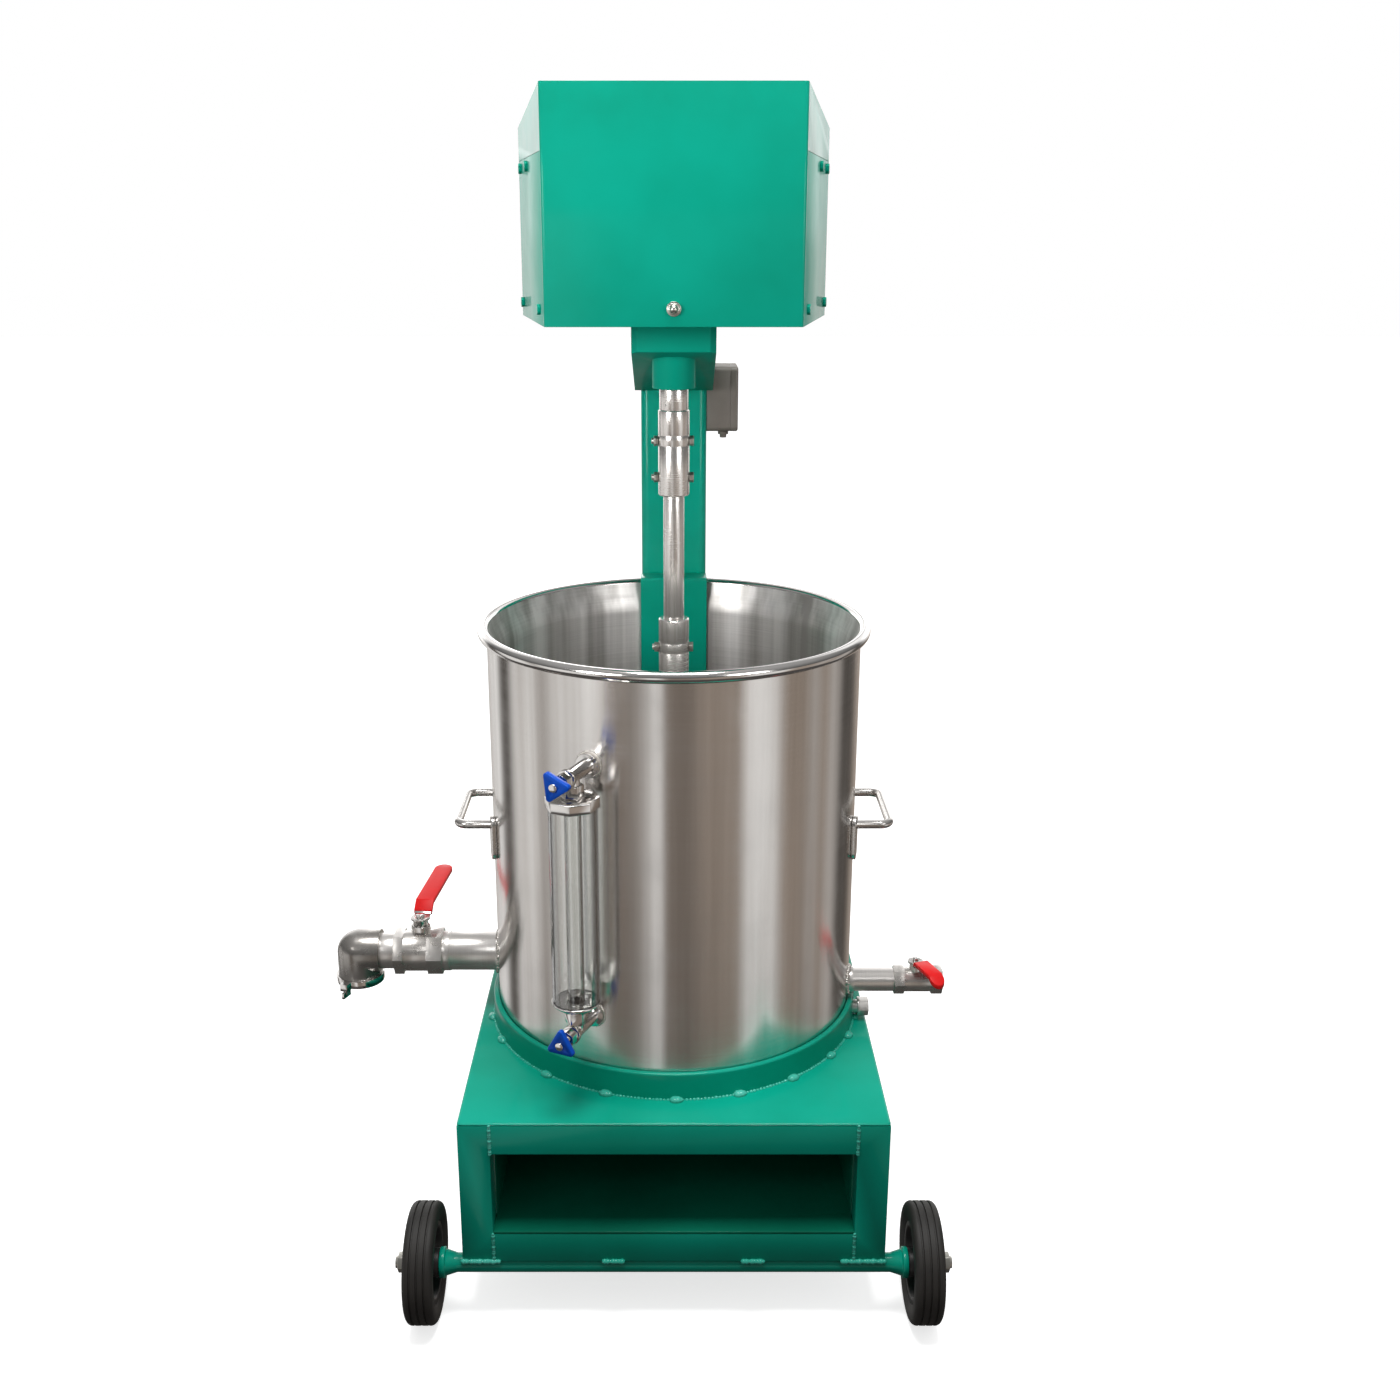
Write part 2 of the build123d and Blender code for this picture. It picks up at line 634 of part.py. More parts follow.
def stem(stem_r, low, high, stem_z):
    """The valve's stem, along local X."""
    return Plane(origin=(0, 0, stem_z), z_dir=(1, 0, 0)).location * rod(stem_r, low, high)


def lever_solid(line, width, extra):
    """A cranked strip along local Y with a round tip, from points (along, height) on its underside."""
    low = [(height - extra, along) for along, height in line]
    high = [(height + LEVER_SHEET + extra, along) for along, height in reversed(line)]
    half = width / 2 + extra
    strip = Pos(0, 0, -half) * extrude(make_face(Polyline(*low, *high, close=True)), 2 * half)
    tip = line[-1][0] - half
    rounded = Pos(0, tip, 0) * Rot(0, 90, 0) * Cylinder(half, 2 * FAR)
    return strip & (block(-FAR, FAR, -CUT, tip, -half, half) + rounded)


def lever_parts(base_z, line, width, hub_r, hub_low, stem_r, stem_z, toe):
    """The steel lever with its hub on the stem, and the soft sleeve over its outer part."""
    lifted = [(along, height + base_z) for along, height in line]
    sleeved = lifted[:-1] + [(lifted[-1][0] + GRIP_SHEET, lifted[-1][1])]
    up = Plane(origin=(0, 0, 0), z_dir=(1, 0, 0)).location
    strip = lever_solid(lifted, width, 0.0)
    lever = strip + up * rod(hub_r, base_z, base_z + LEVER_SHEET)
    lever += up * rod(hub_r - LEVER_HUB_STEP, hub_low, base_z)
    lever -= up * rod(stem_r, 0, base_z + FAR)
    thick = lever_solid(sleeved, width, GRIP_SHEET)
    sleeve = (thick & block(-FAR, FAR, hub_r + CUT, FAR, -FAR, FAR)) - lever
    place = Pos(0, 0, stem_z) * Rot(toe, 0, 0)
    return place * lever, place * sleeve


def outlet_parts():
    """The product outlet: pipe, ball valve, nipple, elbow and clamp, from the pot wall outward."""
    place = along_x(-1, 0, 0, OUTLET_Z)
    inner = OUTLET_PIPE_R - OUTLET_PIPE_WALL
    pipe = tube(OUTLET_PIPE_R, inner, POT_R - OUTLET_ROOT, OUTLET_INLET_END) - upright_cut(POT_R)
    weld = tube(OUTLET_PIPE_R + OUTLET_WELD, inner, SHELL_R - SHELL_SHEET, SHELL_R + OUTLET_WELD)
    pipe += weld - upright_cut(SHELL_R)
    pipe += tube(OUTLET_PIPE_R + CUT, inner, OUTLET_INLET_END - OUTLET_SLEEVE, OUTLET_INLET_END)
    body = ball_valve_body(OUTLET_BARREL_R, OUTLET_HEX, OUTLET_INLET_END, OUTLET_INLET_HEX, OUTLET_FAR_HEX,
                           OUTLET_FAR_END, OUTLET_STEM_X, OUTLET_BALL_R, OUTLET_BORE_R, OUTLET_NECK_R,
                           OUTLET_NECK_TOP, OUTLET_STEM_R)
    gland = stem_ring(OUTLET_GLAND, OUTLET_STEM_R + HOLE_GAP, OUTLET_NECK_TOP, OUTLET_GLAND_TOP,
                      OUTLET_STEM_X)
    lever, grip = lever_parts(OUTLET_LEVER_Z, OUTLET_LEVER_LINE, OUTLET_LEVER_WIDTH, OUTLET_HUB_R,
                              OUTLET_GLAND_TOP + GAP, OUTLET_STEM_R, OUTLET_STEM_X, OUTLET_LEVER_TOE)
    nipple = tube(OUTLET_NIPPLE_R, OUTLET_BORE_R, OUTLET_FAR_END, OUTLET_NIPPLE_END)
    corner = Pos(0, 0, OUTLET_MOUTH_X)
    down = Plane(origin=(0, 0, OUTLET_MOUTH_X), x_dir=(0, 1, 0), z_dir=(-1, 0, 0)).location
    elbow = rod(OUTLET_ELBOW_R, OUTLET_NIPPLE_END, OUTLET_MOUTH_X) + corner * Sphere(OUTLET_ELBOW_R)
    elbow += down * rod(OUTLET_ELBOW_R, 0, OUTLET_DROP)
    elbow -= rod(OUTLET_BORE_R, OUTLET_NIPPLE_END - CUT, OUTLET_MOUTH_X) + corner * Sphere(OUTLET_MOUTH_R)
    elbow -= down * rod(OUTLET_MOUTH_R, 0, OUTLET_DROP + CUT)
    core = ball(OUTLET_BALL_R, OUTLET_BORE_R, OUTLET_STEM_X, 0)
    post = stem(OUTLET_STEM_R, OUTLET_BALL_R - STEM_SEAT, OUTLET_STEM_TOP, OUTLET_STEM_X)
    return {"outlet_pipe": place * pipe, "outlet_valve_body": place * body,
            "outlet_gland_nut": place * gland, "outlet_lever": place * lever,
            "outlet_grip": place * grip, "outlet_nipple": place * nipple,
            "outlet_elbow": place * elbow, "outlet_clamp": place * down * clamp(),
            "outlet_ball": place * core, "outlet_stem": place * post}


def clamp():
    """The band round the elbow's mouth, with a lug and a wing screw."""
    high = OUTLET_DROP - CUT
    low = high - CLAMP_WIDTH
    band_r = OUTLET_ELBOW_R + SEAT_GAP
    band = tube(band_r + CLAMP_SHEET, band_r, low, high)
    out = band_r + CLAMP_SHEET - CUT
    half = CLAMP_LUG / 2
    lug = block(out, out + CLAMP_LUG, -half, half, low, high)
    screw = rod(CLAMP_SCREW_R, high, high + half, out + half, 0)
    wing_x = out + half - CLAMP_WING / 2
    wing_low = high + CLAMP_SCREW_R / 2
    thick = CLAMP_WING_SHEET / 2
    wing = block(wing_x, wing_x + CLAMP_WING, -thick, thick, wing_low, wing_low + CLAMP_WING_HEIGHT)
    return Rot(0, 0, CLAMP_TURN) * (band + lug + screw + wing)


def stem_ring(across, inner, low, high, stem_z):
    """A hexagon nut round the valve's stem."""
    place = Plane(origin=(0, 0, stem_z), z_dir=(1, 0, 0)).location
    return place * (hexagon(across, low, high) - rod(inner, low - CUT, high + CUT))


def drain_parts():
    """The jacket's drain: a pipe with a welded boss, and a small ball valve."""
    place = along_x(1, 0, DRAIN_Y, DRAIN_Z)
    inner = DRAIN_PIPE_R - DRAIN_PIPE_WALL
    root = SHELL_R - DRAIN_PIPE_R
    pipe = tube(DRAIN_PIPE_R, inner, root, DRAIN_INLET_END) - upright_cut(SHELL_R - SHELL_SHEET, DRAIN_Y)
    weld = tube(DRAIN_PIPE_R + DRAIN_WELD, inner, root, SHELL_R + DRAIN_WELD)
    pipe += weld - upright_cut(SHELL_R, DRAIN_Y)
    body = ball_valve_body(DRAIN_BARREL_R, DRAIN_HEX, DRAIN_INLET_END, DRAIN_INLET_HEX, DRAIN_FAR_HEX,
                           DRAIN_FAR_END, DRAIN_STEM_X, DRAIN_BALL_R, DRAIN_BORE_R, DRAIN_NECK_R,
                           DRAIN_NECK_TOP, DRAIN_STEM_R)
    body -= rod(DRAIN_SOCKET_R, DRAIN_FAR_END - DRAIN_SOCKET, DRAIN_FAR_END + CUT)
    lever, grip = lever_parts(DRAIN_LEVER_Z, DRAIN_LEVER_LINE, DRAIN_LEVER_WIDTH, DRAIN_HUB_R,
                              DRAIN_NECK_TOP + GAP, DRAIN_STEM_R, DRAIN_STEM_X, DRAIN_LEVER_TOE)
    core = ball(DRAIN_BALL_R, DRAIN_BORE_R, DRAIN_STEM_X, DRAIN_LEVER_TOE)
    post = stem(DRAIN_STEM_R, DRAIN_BALL_R - STEM_SEAT, DRAIN_STEM_TOP, DRAIN_STEM_X)
    return {"drain_pipe": place * pipe, "drain_valve_body": place * body, "drain_lever": place * lever,
            "drain_grip": place * grip, "drain_ball": place * core, "drain_stem": place * post}


def jacket_plug():
    """The screw plug at the bottom of the jacket, through the collar."""
    place = along_x(1, 0, DRAIN_Y, PLUG_Z)
    shank_end = COLLAR_R + SHELL_SHEET
    head_start = shank_end + PLUG_WASHER
    plug = rod(PLUG_R, SHELL_R - PLUG_DEPTH, shank_end) + rod(PLUG_R + PLUG_BOSS, shank_end, head_start)
    return place * (plug + hexagon(PLUG_HEX, head_start, shank_end + PLUG_HEAD, 30))


def gauge_place(z):
    """A place whose local Z points outward along the gauge's spoke and whose local X points up."""
    turn = math.radians(GAUGE_TURN)
    return Plane(origin=(0, 0, z), x_dir=(0, 0, 1), z_dir=(-math.sin(turn), -math.cos(turn), 0)).location


def gauge_axis():
    """The place of the gauge glass, upright at the end of its spoke."""
    turn = math.radians(GAUGE_TURN)
    return Pos(-GAUGE_R * math.sin(turn), -GAUGE_R * math.cos(turn), 0)


def gauge_valve(z, way, seat):
    """A gauge cock: wall flange, body, bonnet for the spindle, and a spigot up or down to the glass."""
    body_end = GAUGE_R + GAUGE_BODY_END
    body = rod(GAUGE_FLANGE_R, SHELL_R - GAUGE_FLANGE / 2, SHELL_R + GAUGE_FLANGE)
    body += rod(GAUGE_BODY_R, SHELL_R, body_end) + rod(GAUGE_SHOULDER_R, GAUGE_R + GAUGE_SHOULDER, body_end)
    body += hexagon(GAUGE_BONNET_HEX, body_end, body_end + GAUGE_BONNET)
    whole = gauge_place(z) * body - rod(SHELL_R, z - FAR, z + FAR)
    nut_end = seat + way * GAUGE_NUT
    nut = hexagon(2 * GAUGE_NUT_R, min(seat, nut_end), max(seat, nut_end))
    whole += gauge_axis() * (rod(GAUGE_BODY_R, min(z, seat), max(z, seat)) + nut)
    whole -= gauge_place(z) * rod(SPINDLE_R + HOLE_GAP, GAUGE_R, body_end + GAUGE_BONNET + CUT)
    whole -= gauge_place(z) * rod(GAUGE_BORE_R, SHELL_R / 2, GAUGE_R)
    deep = seat + way * (GLASS_SOCKET + SEAT_GAP)
    return whole - gauge_axis() * rod(GLASS_R + SEAT_GAP, min(seat - way, deep), max(seat - way, deep))


def gauge_knob(z, turn):
    """A three-cornered knob with its spindle, on the outer end of a gauge cock."""
    corner = Pos(KNOB_R - KNOB_CORNER_R, 0, 0) * Circle(KNOB_CORNER_R)
    corners = [Rot(0, 0, turn + step) * corner for step in (0, 120, 240)]
    outline = make_hull([edge for spot in corners for edge in spot.edges()])
    outer = KNOB_REACH + KNOB_THICK
    knob = Pos(0, 0, KNOB_REACH) * extrude(outline, KNOB_THICK)
    knob += rod(KNOB_NECK_R, KNOB_REACH - KNOB_NECK, KNOB_REACH)
    knob -= rod(SPINDLE_R, KNOB_REACH - KNOB_NECK - CUT, outer + CUT)
    spindle = rod(SPINDLE_R, GAUGE_R + SPINDLE_R, outer) + rod(SPINDLE_NUT_R, outer, outer + SPINDLE_NUT)
    return gauge_place(z) * knob, gauge_place(z) * spindle


def gauge_guard_parts():
    """The glass, the clear guard round it and the guard's end caps."""
    top_seat = GUARD_TOP_Z + GUARD_CAP
    low_seat = GUARD_LOW_Z - GUARD_DISH
    wide_r = GUARD_R + GUARD_CAP_EDGE
    glass = tube(GLASS_R, GLASS_R - GLASS_WALL, low_seat - GLASS_SOCKET, top_seat + GLASS_SOCKET)
    guard = tube(GUARD_R, GUARD_R - GUARD_WALL, GUARD_LOW_Z, GUARD_TOP_Z)
    octagon = Rot(0, 0, 22.5 - GAUGE_TURN) * RegularPolygon(wide_r, 8, major_radius=False)
    cap = Pos(0, 0, GUARD_TOP_Z) * extrude(octagon, GUARD_CAP) - rod(GLASS_R + SEAT_GAP, 0, top_seat + CUT)
    rim_z = GUARD_LOW_Z - GUARD_DISH_RIM
    dish = cone(GAUGE_NUT_R + GUARD_DISH_RIM, wide_r, low_seat, rim_z) + rod(wide_r, rim_z, GUARD_LOW_Z)
    dish -= rod(GLASS_R + SEAT_GAP, 0, GUARD_LOW_Z + CUT)
    place = gauge_axis()
    return {"gauge_glass": place * glass, "gauge_guard": place * guard, "gauge_guard_cap": place * cap,
            "gauge_guard_dish": place * dish}


def column():
    """The square column behind the kettle, standing on the base plate, closed by a plate on top."""
    tube_top = HEAD_TOP - PLATE
    tall = tube_top - BASE_HEIGHT
    post = square_tube(COLUMN, COLUMN_WALL, tall, COLUMN_CORNER_R)
    post += Pos(0, 0, tall) * extrude(RectangleRounded(COLUMN, COLUMN, COLUMN_CORNER_R), PLATE)
    return Pos(0, COLUMN_FRONT + COLUMN / 2, BASE_HEIGHT) * post


def rim_saddle():
    """The folded plate from the column over the rim and down inside the pot wall."""
    half = SADDLE_WIDTH / 2
    inner_y = math.sqrt(POT_R ** 2 - half ** 2) - SHEET_GAP
    top = RIM_Z + RIM_BEAD_R + GAP
    saddle = block(-half, half, inner_y - SADDLE_SHEET, inner_y, SADDLE_LOW_Z, top + SADDLE_SHEET)
    saddle += block(-half, half, inner_y - SADDLE_SHEET, COLUMN_FRONT, top, top + SADDLE_SHEET)
    fold = saddle.edges().filter_by(Axis.X).sort_by(lambda e: e.center().Z - e.center().Y)[-1]
    return fillet(fold, SADDLE_SHEET - SHEET_GAP)


def head_outline(margin):
    """The drive head's plan, narrower at the front with bevelled corners, drawn in by a margin."""
    front = HEAD_FRONT_WIDTH / 2 - margin
    rear = front + HEAD_WIDEN
    bevel = HEAD_BEVEL if margin == 0 else HEAD_INNER_BEVEL
    y = HEAD_FRONT + margin
    points = [(-front + bevel, y), (front - bevel, y), (front, y + bevel), (rear, COLUMN_FRONT),
              (-rear, COLUMN_FRONT), (-front, y + bevel)]
    return make_face(Polyline(*points, close=True))


def head_side(margin):
    """The drive head's side view: a short nose and an underside that falls to the column."""
    ahead = HEAD_FRONT - COLUMN
    behind = COLUMN_FRONT + COLUMN
    fall = (HEAD_NOSE_Z - HEAD_HEEL_Z) / (COLUMN_FRONT - HEAD_FRONT)
    points = [(ahead, HEAD_TOP - margin), (ahead, HEAD_NOSE_Z + margin), (HEAD_FRONT, HEAD_NOSE_Z + margin),
              (behind, HEAD_HEEL_Z + margin - COLUMN * fall), (behind, HEAD_TOP - margin)]
    return extrude(make_face(Plane.YZ * Polyline(*points, close=True)), FAR, both=True)


def drive_head():
    """The welded box on the column's face, with the bearing tube through its sloping underside."""
    low = HEAD_HEEL_Z - CUT
    tall = HEAD_TOP - low + CUT
    outer = Pos(0, 0, low) * extrude(head_outline(0), tall) & head_side(0)
    inner = Pos(0, 0, low) * extrude(head_outline(HEAD_WALL), tall) & head_side(HEAD_WALL)
    head = outer - inner + rod(BEARING_TUBE_R, BEARING_TUBE_LOW_Z, HEAD_TOP)
    top = HEAD_TOP - HEAD_WALL
    head -= rod(BEARING_TUBE_R - BEARING_TUBE_WALL, BEARING_TUBE_LOW_Z - CUT, top)
    return head - rod(DRIVE_SHAFT_R + CUT, top - CUT, HEAD_TOP + CUT)


def shaft_bearings():
    """Two ball bearings in the bearing tube."""
    outer = BEARING_TUBE_R - BEARING_TUBE_WALL
    lows = (BEARING_TUBE_LOW_Z + BEARING_SHELF, HEAD_TOP - HEAD_WALL - BEARING_WIDTH)
    return group([tube(outer, DRIVE_SHAFT_R + HOLE_GAP, z, z + BEARING_WIDTH) for z in lows])


def hood_form(margin):
    """The hood's outer form drawn in by a margin: a flared plan under a roof that falls to the rear."""
    shift = margin / math.cos(math.radians(HOOD_FLARE))
    depth = HOOD_HALF_DEPTH - margin
    front_x = HOOD_FRONT_HALF + HOOD_SLOPE * margin - shift
    rear_x = HOOD_REAR_HALF - HOOD_SLOPE * margin - shift
    plan = Polyline((-front_x, -depth), (front_x, -depth), (rear_x, depth), (-rear_x, depth), close=True)
    form = Pos(0, 0, HOOD_LOW_Z - margin) * extrude(make_face(plan), HOOD_FRONT_TOP - HOOD_LOW_Z)
    fall = HOOD_ROOF_FALL / (2 * HOOD_HALF_DEPTH)
    reach = 2 * HOOD_HALF_DEPTH
    middle_z = (HOOD_FRONT_TOP + HOOD_REAR_TOP) / 2 - margin
    front = (-reach, middle_z + fall * reach)
    rear = (reach, middle_z - fall * reach)
    above = Polyline(front, rear, (reach, front[1] + reach), (-reach, front[1] + reach), close=True)
    return form - extrude(make_face(Plane.YZ * above), FAR, both=True)


def side_place():
    """A place on the hood's right side: local X outward, local Y rearward along the side, local Z up."""
    turn = math.radians(HOOD_FLARE)
    normal = (math.cos(turn), -math.sin(turn), 0)
    return Plane(origin=(HOOD_FRONT_HALF, -HOOD_HALF_DEPTH, 0), x_dir=normal, z_dir=(0, 0, 1)).location


def side_length():
    """The length of the hood's side along its flare."""
    return 2 * HOOD_HALF_DEPTH / math.cos(math.radians(HOOD_FLARE))


def hood_parts():
    """The hood's folded shell, its two lower side covers and the floor with its upturned edges."""
    folds = hood_form(0).edges().filter_by(Axis.Z).sort_by(Axis.Y)[:2]
    outer = fillet(folds, HOOD_FOLD_R)
    shell = outer - hood_form(HOOD_SHEET)
    notch = HEAD_FRONT_WIDTH / 2 + HEAD_WIDEN + GAP
    shell -= block(-notch, notch, 0, HOOD_HALF_DEPTH + CUT, HOOD_LOW_Z - CUT, HEAD_TOP + GAP)
    end = side_length() - COVER_MARGIN
    deep = 2 * HOOD_LIP + HOOD_SHEET
    window = block(-deep, deep, COVER_MARGIN, end, HOOD_LOW_Z - CUT, COVER_TOP_Z)
    cover = block(-HOOD_SHEET, 0, COVER_MARGIN + GAP, end - GAP, HOOD_LOW_Z, COVER_TOP_Z - GAP)
    lip = block(-HOOD_SHEET - HOOD_LIP, -HOOD_SHEET, COVER_MARGIN + LIP_INSET, end - LIP_INSET,
                COVER_TOP_Z - LIP_LOW, COVER_TOP_Z + LIP_HIGH)
    place = side_place()
    for piece in both_sides(place * window):
        shell -= piece
    for piece in both_sides(place * lip):
        shell += piece
    covers = group(both_sides(place * cover))
    inside = HOOD_SHEET + HOOD_LIP + SEAT_GAP
    span = block(-FAR, FAR, -FAR, FAR, HEAD_TOP, HEAD_TOP + HOOD_FLANGE)
    tray = hood_form(inside) & span
    tray -= hood_form(inside + HOOD_FLOOR) & Pos(0, 0, HOOD_FLOOR) * span
    tray -= rod(DRIVE_SHAFT_R + CUT, HEAD_TOP - CUT, HEAD_TOP + HOOD_FLOOR + CUT)
    return shell, covers, tray


def hood_screws():
    """Hexagon screws of the side covers, and the domed nut with its washer at the hood's front."""
    place = side_place()
    low_z = HOOD_LOW_Z + SCREW_LOW
    high_z = COVER_TOP_Z - SCREW_HIGH
    spots = [(LOW_SCREWS[0], low_z), (side_length() - LOW_SCREWS[1], low_z)]
    spots += [(side_length() - back, high_z) for back in HIGH_SCREWS]
    screws = []
    for along, z in spots:
        head = Pos(0, along, z) * Rot(0, 90, 0) * hexagon(2 * SCREW_HEAD_R, 0, SCREW_HEAD)
        screws += both_sides(place * head)
    nut_place = (0, -HOOD_HALF_DEPTH, HOOD_LOW_Z + CAP_NUT_RISE)
    front = Plane(origin=nut_place, x_dir=(1, 0, 0), z_dir=(0, -1, 0)).location
    nut_top = CAP_NUT_WASHER + CAP_NUT_HEX
    nut = rod(CAP_NUT_R, 0, CAP_NUT_WASHER) + hexagon(1.45 * CAP_NUT_R, CAP_NUT_WASHER, nut_top)
    dome = Pos(0, 0, nut_top - CUT) * Sphere(0.6 * CAP_NUT_R)
    screws.append(front * (nut + (dome & rod(CAP_NUT_R, 0, FAR))))
    return group(screws)


def gear_motor():
    """The gear box on the drive head, and the upright motor behind the shaft."""
    low = HEAD_TOP + HOOD_FLOOR
    top = low + GEARBOX_HEIGHT
    case = block(-GEARBOX_HALF_WIDTH, GEARBOX_HALF_WIDTH, GEARBOX_FRONT, GEARBOX_REAR, low, top)
    case = fillet(case.edges().filter_by(Axis.Z), GEARBOX_CORNER_R)
    case -= rod(DRIVE_SHAFT_R + HOLE_GAP, low - CUT, top + CUT)
    seam = MOTOR_TOP - MOTOR_FAN_COVER
    motor = rod(MOTOR_R, top, seam, 0, MOTOR_Y)
    motor += rod(MOTOR_R - MOTOR_COVER_STEP, seam, MOTOR_TOP, 0, MOTOR_Y)
    half = MOTOR_BOX_WIDTH / 2
    motor += block(-MOTOR_R - MOTOR_BOX, -MOTOR_R / 2, MOTOR_Y - half, MOTOR_Y + half, top + MOTOR_BOX_LOW,
                   top + MOTOR_BOX_HIGH)
    return case, motor


def bolt_heights():
    """The heights of the four cross bolts, two in each coupling."""
    tops = (COUPLING_TOP_Z, LOW_COUPLING_TOP_Z)
    return [top - drop for top in tops for drop in (UPPER_BOLT_DROP, LOWER_BOLT_DROP)]


def drill_bolts(shape):
    """The shape with the cross bolts' holes through it."""
    for z in bolt_heights():
        shape -= Pos(0, 0, z) * Rot(0, 90, 0) * Cylinder(BOLT_R, 4 * COUPLING_R)
    return shape


def drive_line():
    """The drive shaft, the shaft below it, two bolted sleeves and their bolts."""
    shoulder_z = BEARING_TUBE_LOW_Z + CUT
    drive = rod(DRIVE_SHAFT_R, shoulder_z, HEAD_TOP + HOOD_FLOOR + GEARBOX_HEIGHT)
    drive += rod(STUB_R, COUPLING_TOP_Z, shoulder_z)
    drive += rod(SHAFT_R, COUPLING_TOP_Z - SHAFT_ENGAGE, COUPLING_TOP_Z)
    slot_x = STUB_R / 2
    slot_y = STUB_R - STUB_SLOT
    slot_low = COUPLING_TOP_Z + 2 * STUB_SLOT
    drive -= block(-slot_x - STUB_SLOT, -slot_x, -STUB_R - CUT, -slot_y, slot_low, shoulder_z - STUB_SLOT)
    mid = rod(SHAFT_R, LOW_COUPLING_TOP_Z - SHAFT_ENGAGE, COUPLING_TOP_Z - SHAFT_ENGAGE - SHAFT_END_GAP)
    couplings = [drill_bolts(coupling(top)) for top in (COUPLING_TOP_Z, LOW_COUPLING_TOP_Z)]
    bolts = [cross_bolt(z) for z in bolt_heights()]
    return drill_bolts(drive), drill_bolts(mid), group(couplings), group(bolts)


def coupling(top):
    """A sleeve over two shaft ends, with a shallow band at its upper bolt."""
    sleeve = rod(COUPLING_R, top - COUPLING_LENGTH, top)
    band_top = top - COUPLING_BAND
    for z in (band_top, band_top - COUPLING_BAND_WIDTH):
        sleeve -= tube(COUPLING_R + CUT, COUPLING_R - COUPLING_GROOVE, z - COUPLING_GROOVE, z)
    ends = sleeve.edges().filter_by(GeomType.CIRCLE).sort_by(Axis.Z)
    sleeve = chamfer([ends[0], ends[-1]], COUPLING_CHAMFER)
    return sleeve - rod(SHAFT_R, top - COUPLING_LENGTH - CUT, top + CUT)


def cross_bolt(z):
    """A bolt through a sleeve and its shaft, with a hexagon head at one end and a nut at the other."""
    bolt = rod(BOLT_R, -COUPLING_R - BOLT_HEAD - BOLT_TAIL, COUPLING_R)
    bolt += hexagon(BOLT_HEX, COUPLING_R, COUPLING_R + BOLT_HEAD)
    bolt += hexagon(BOLT_HEX, -COUPLING_R - BOLT_HEAD, -COUPLING_R)
    return Pos(0, 0, z) * Rot(0, 90, 0) * bolt


def agitator():
    """The agitator's shaft with the anchor of flat bar welded to it."""
    top = LOW_COUPLING_TOP_Z - SHAFT_ENGAGE - SHAFT_END_GAP
    half = ANCHOR_SHEET / 2
    outer = ANCHOR_R
    inner = ANCHOR_R - ANCHOR_BAR
    low = ANCHOR_LOW_Z
    bar_top = low + ANCHOR_BAR
    points = [(-outer, ANCHOR_TOP_Z), (-outer, low), (outer, low), (outer, ANCHOR_TOP_Z),
              (inner, ANCHOR_TOP_Z), (inner, bar_top), (-inner, bar_top), (-inner, ANCHOR_TOP_Z)]
    anchor = extrude(make_face(Plane.XZ * Polyline(*points, close=True)), half, both=True)
    corners = anchor.edges().filter_by(Axis.Y).sort_by(Axis.Z)
    frame = rod(SHAFT_R, low, top) + fillet(corners[:2], ANCHOR_BEND_R)
    tie_top = ANCHOR_TIE_Z + ANCHOR_BAR
    frame += block(-inner - CUT, inner + CUT, -half, half, ANCHOR_TIE_Z, tie_top)
    hub_r = SHAFT_R + ANCHOR_HUB
    frame += rod(hub_r, ANCHOR_TIE_Z - ANCHOR_HUB_LAP, tie_top + ANCHOR_HUB_LAP)
    frame += rod(hub_r, low, bar_top + ANCHOR_HUB_LAP)
    return drill_bolts(frame)


def scrapers():
    """Strips bolted to the anchor: two that wipe the wall and two that wipe the floor."""
    half = ANCHOR_SHEET / 2
    back = half + SCRAPER_SHEET
    wall_x = POT_R - SCRAPER_GAP
    reach = math.sqrt(wall_x ** 2 - back ** 2)
    low_z = POT_FLOOR + KNUCKLE_R + SCRAPER_CORNER
    wall = block(ANCHOR_R - SCRAPER_LAP, reach, half, back, low_z, ANCHOR_TOP_Z + SCRAPER_END)
    wall_edges = wall.edges().filter_by(Axis.Z).sort_by(lambda e: e.center().X - e.center().Y)
    wall = chamfer(wall_edges[-1], SCRAPER_EDGE)
    floor_x = POT_R - KNUCKLE_R - SCRAPER_END
    hub_x = SHAFT_R + ANCHOR_HUB + SCRAPER_EDGE
    strip = block(hub_x, floor_x, half, back, POT_FLOOR + SCRAPER_GAP, ANCHOR_LOW_Z + SCRAPER_LAP)
    low_edges = strip.edges().filter_by(Axis.X).sort_by(lambda e: e.center().Z + e.center().Y)
    strip = chamfer(low_edges[0], SCRAPER_EDGE)
    turned = [Rot(0, 0, 180) * piece for piece in (wall, strip)]
    return group([wall, strip] + turned)


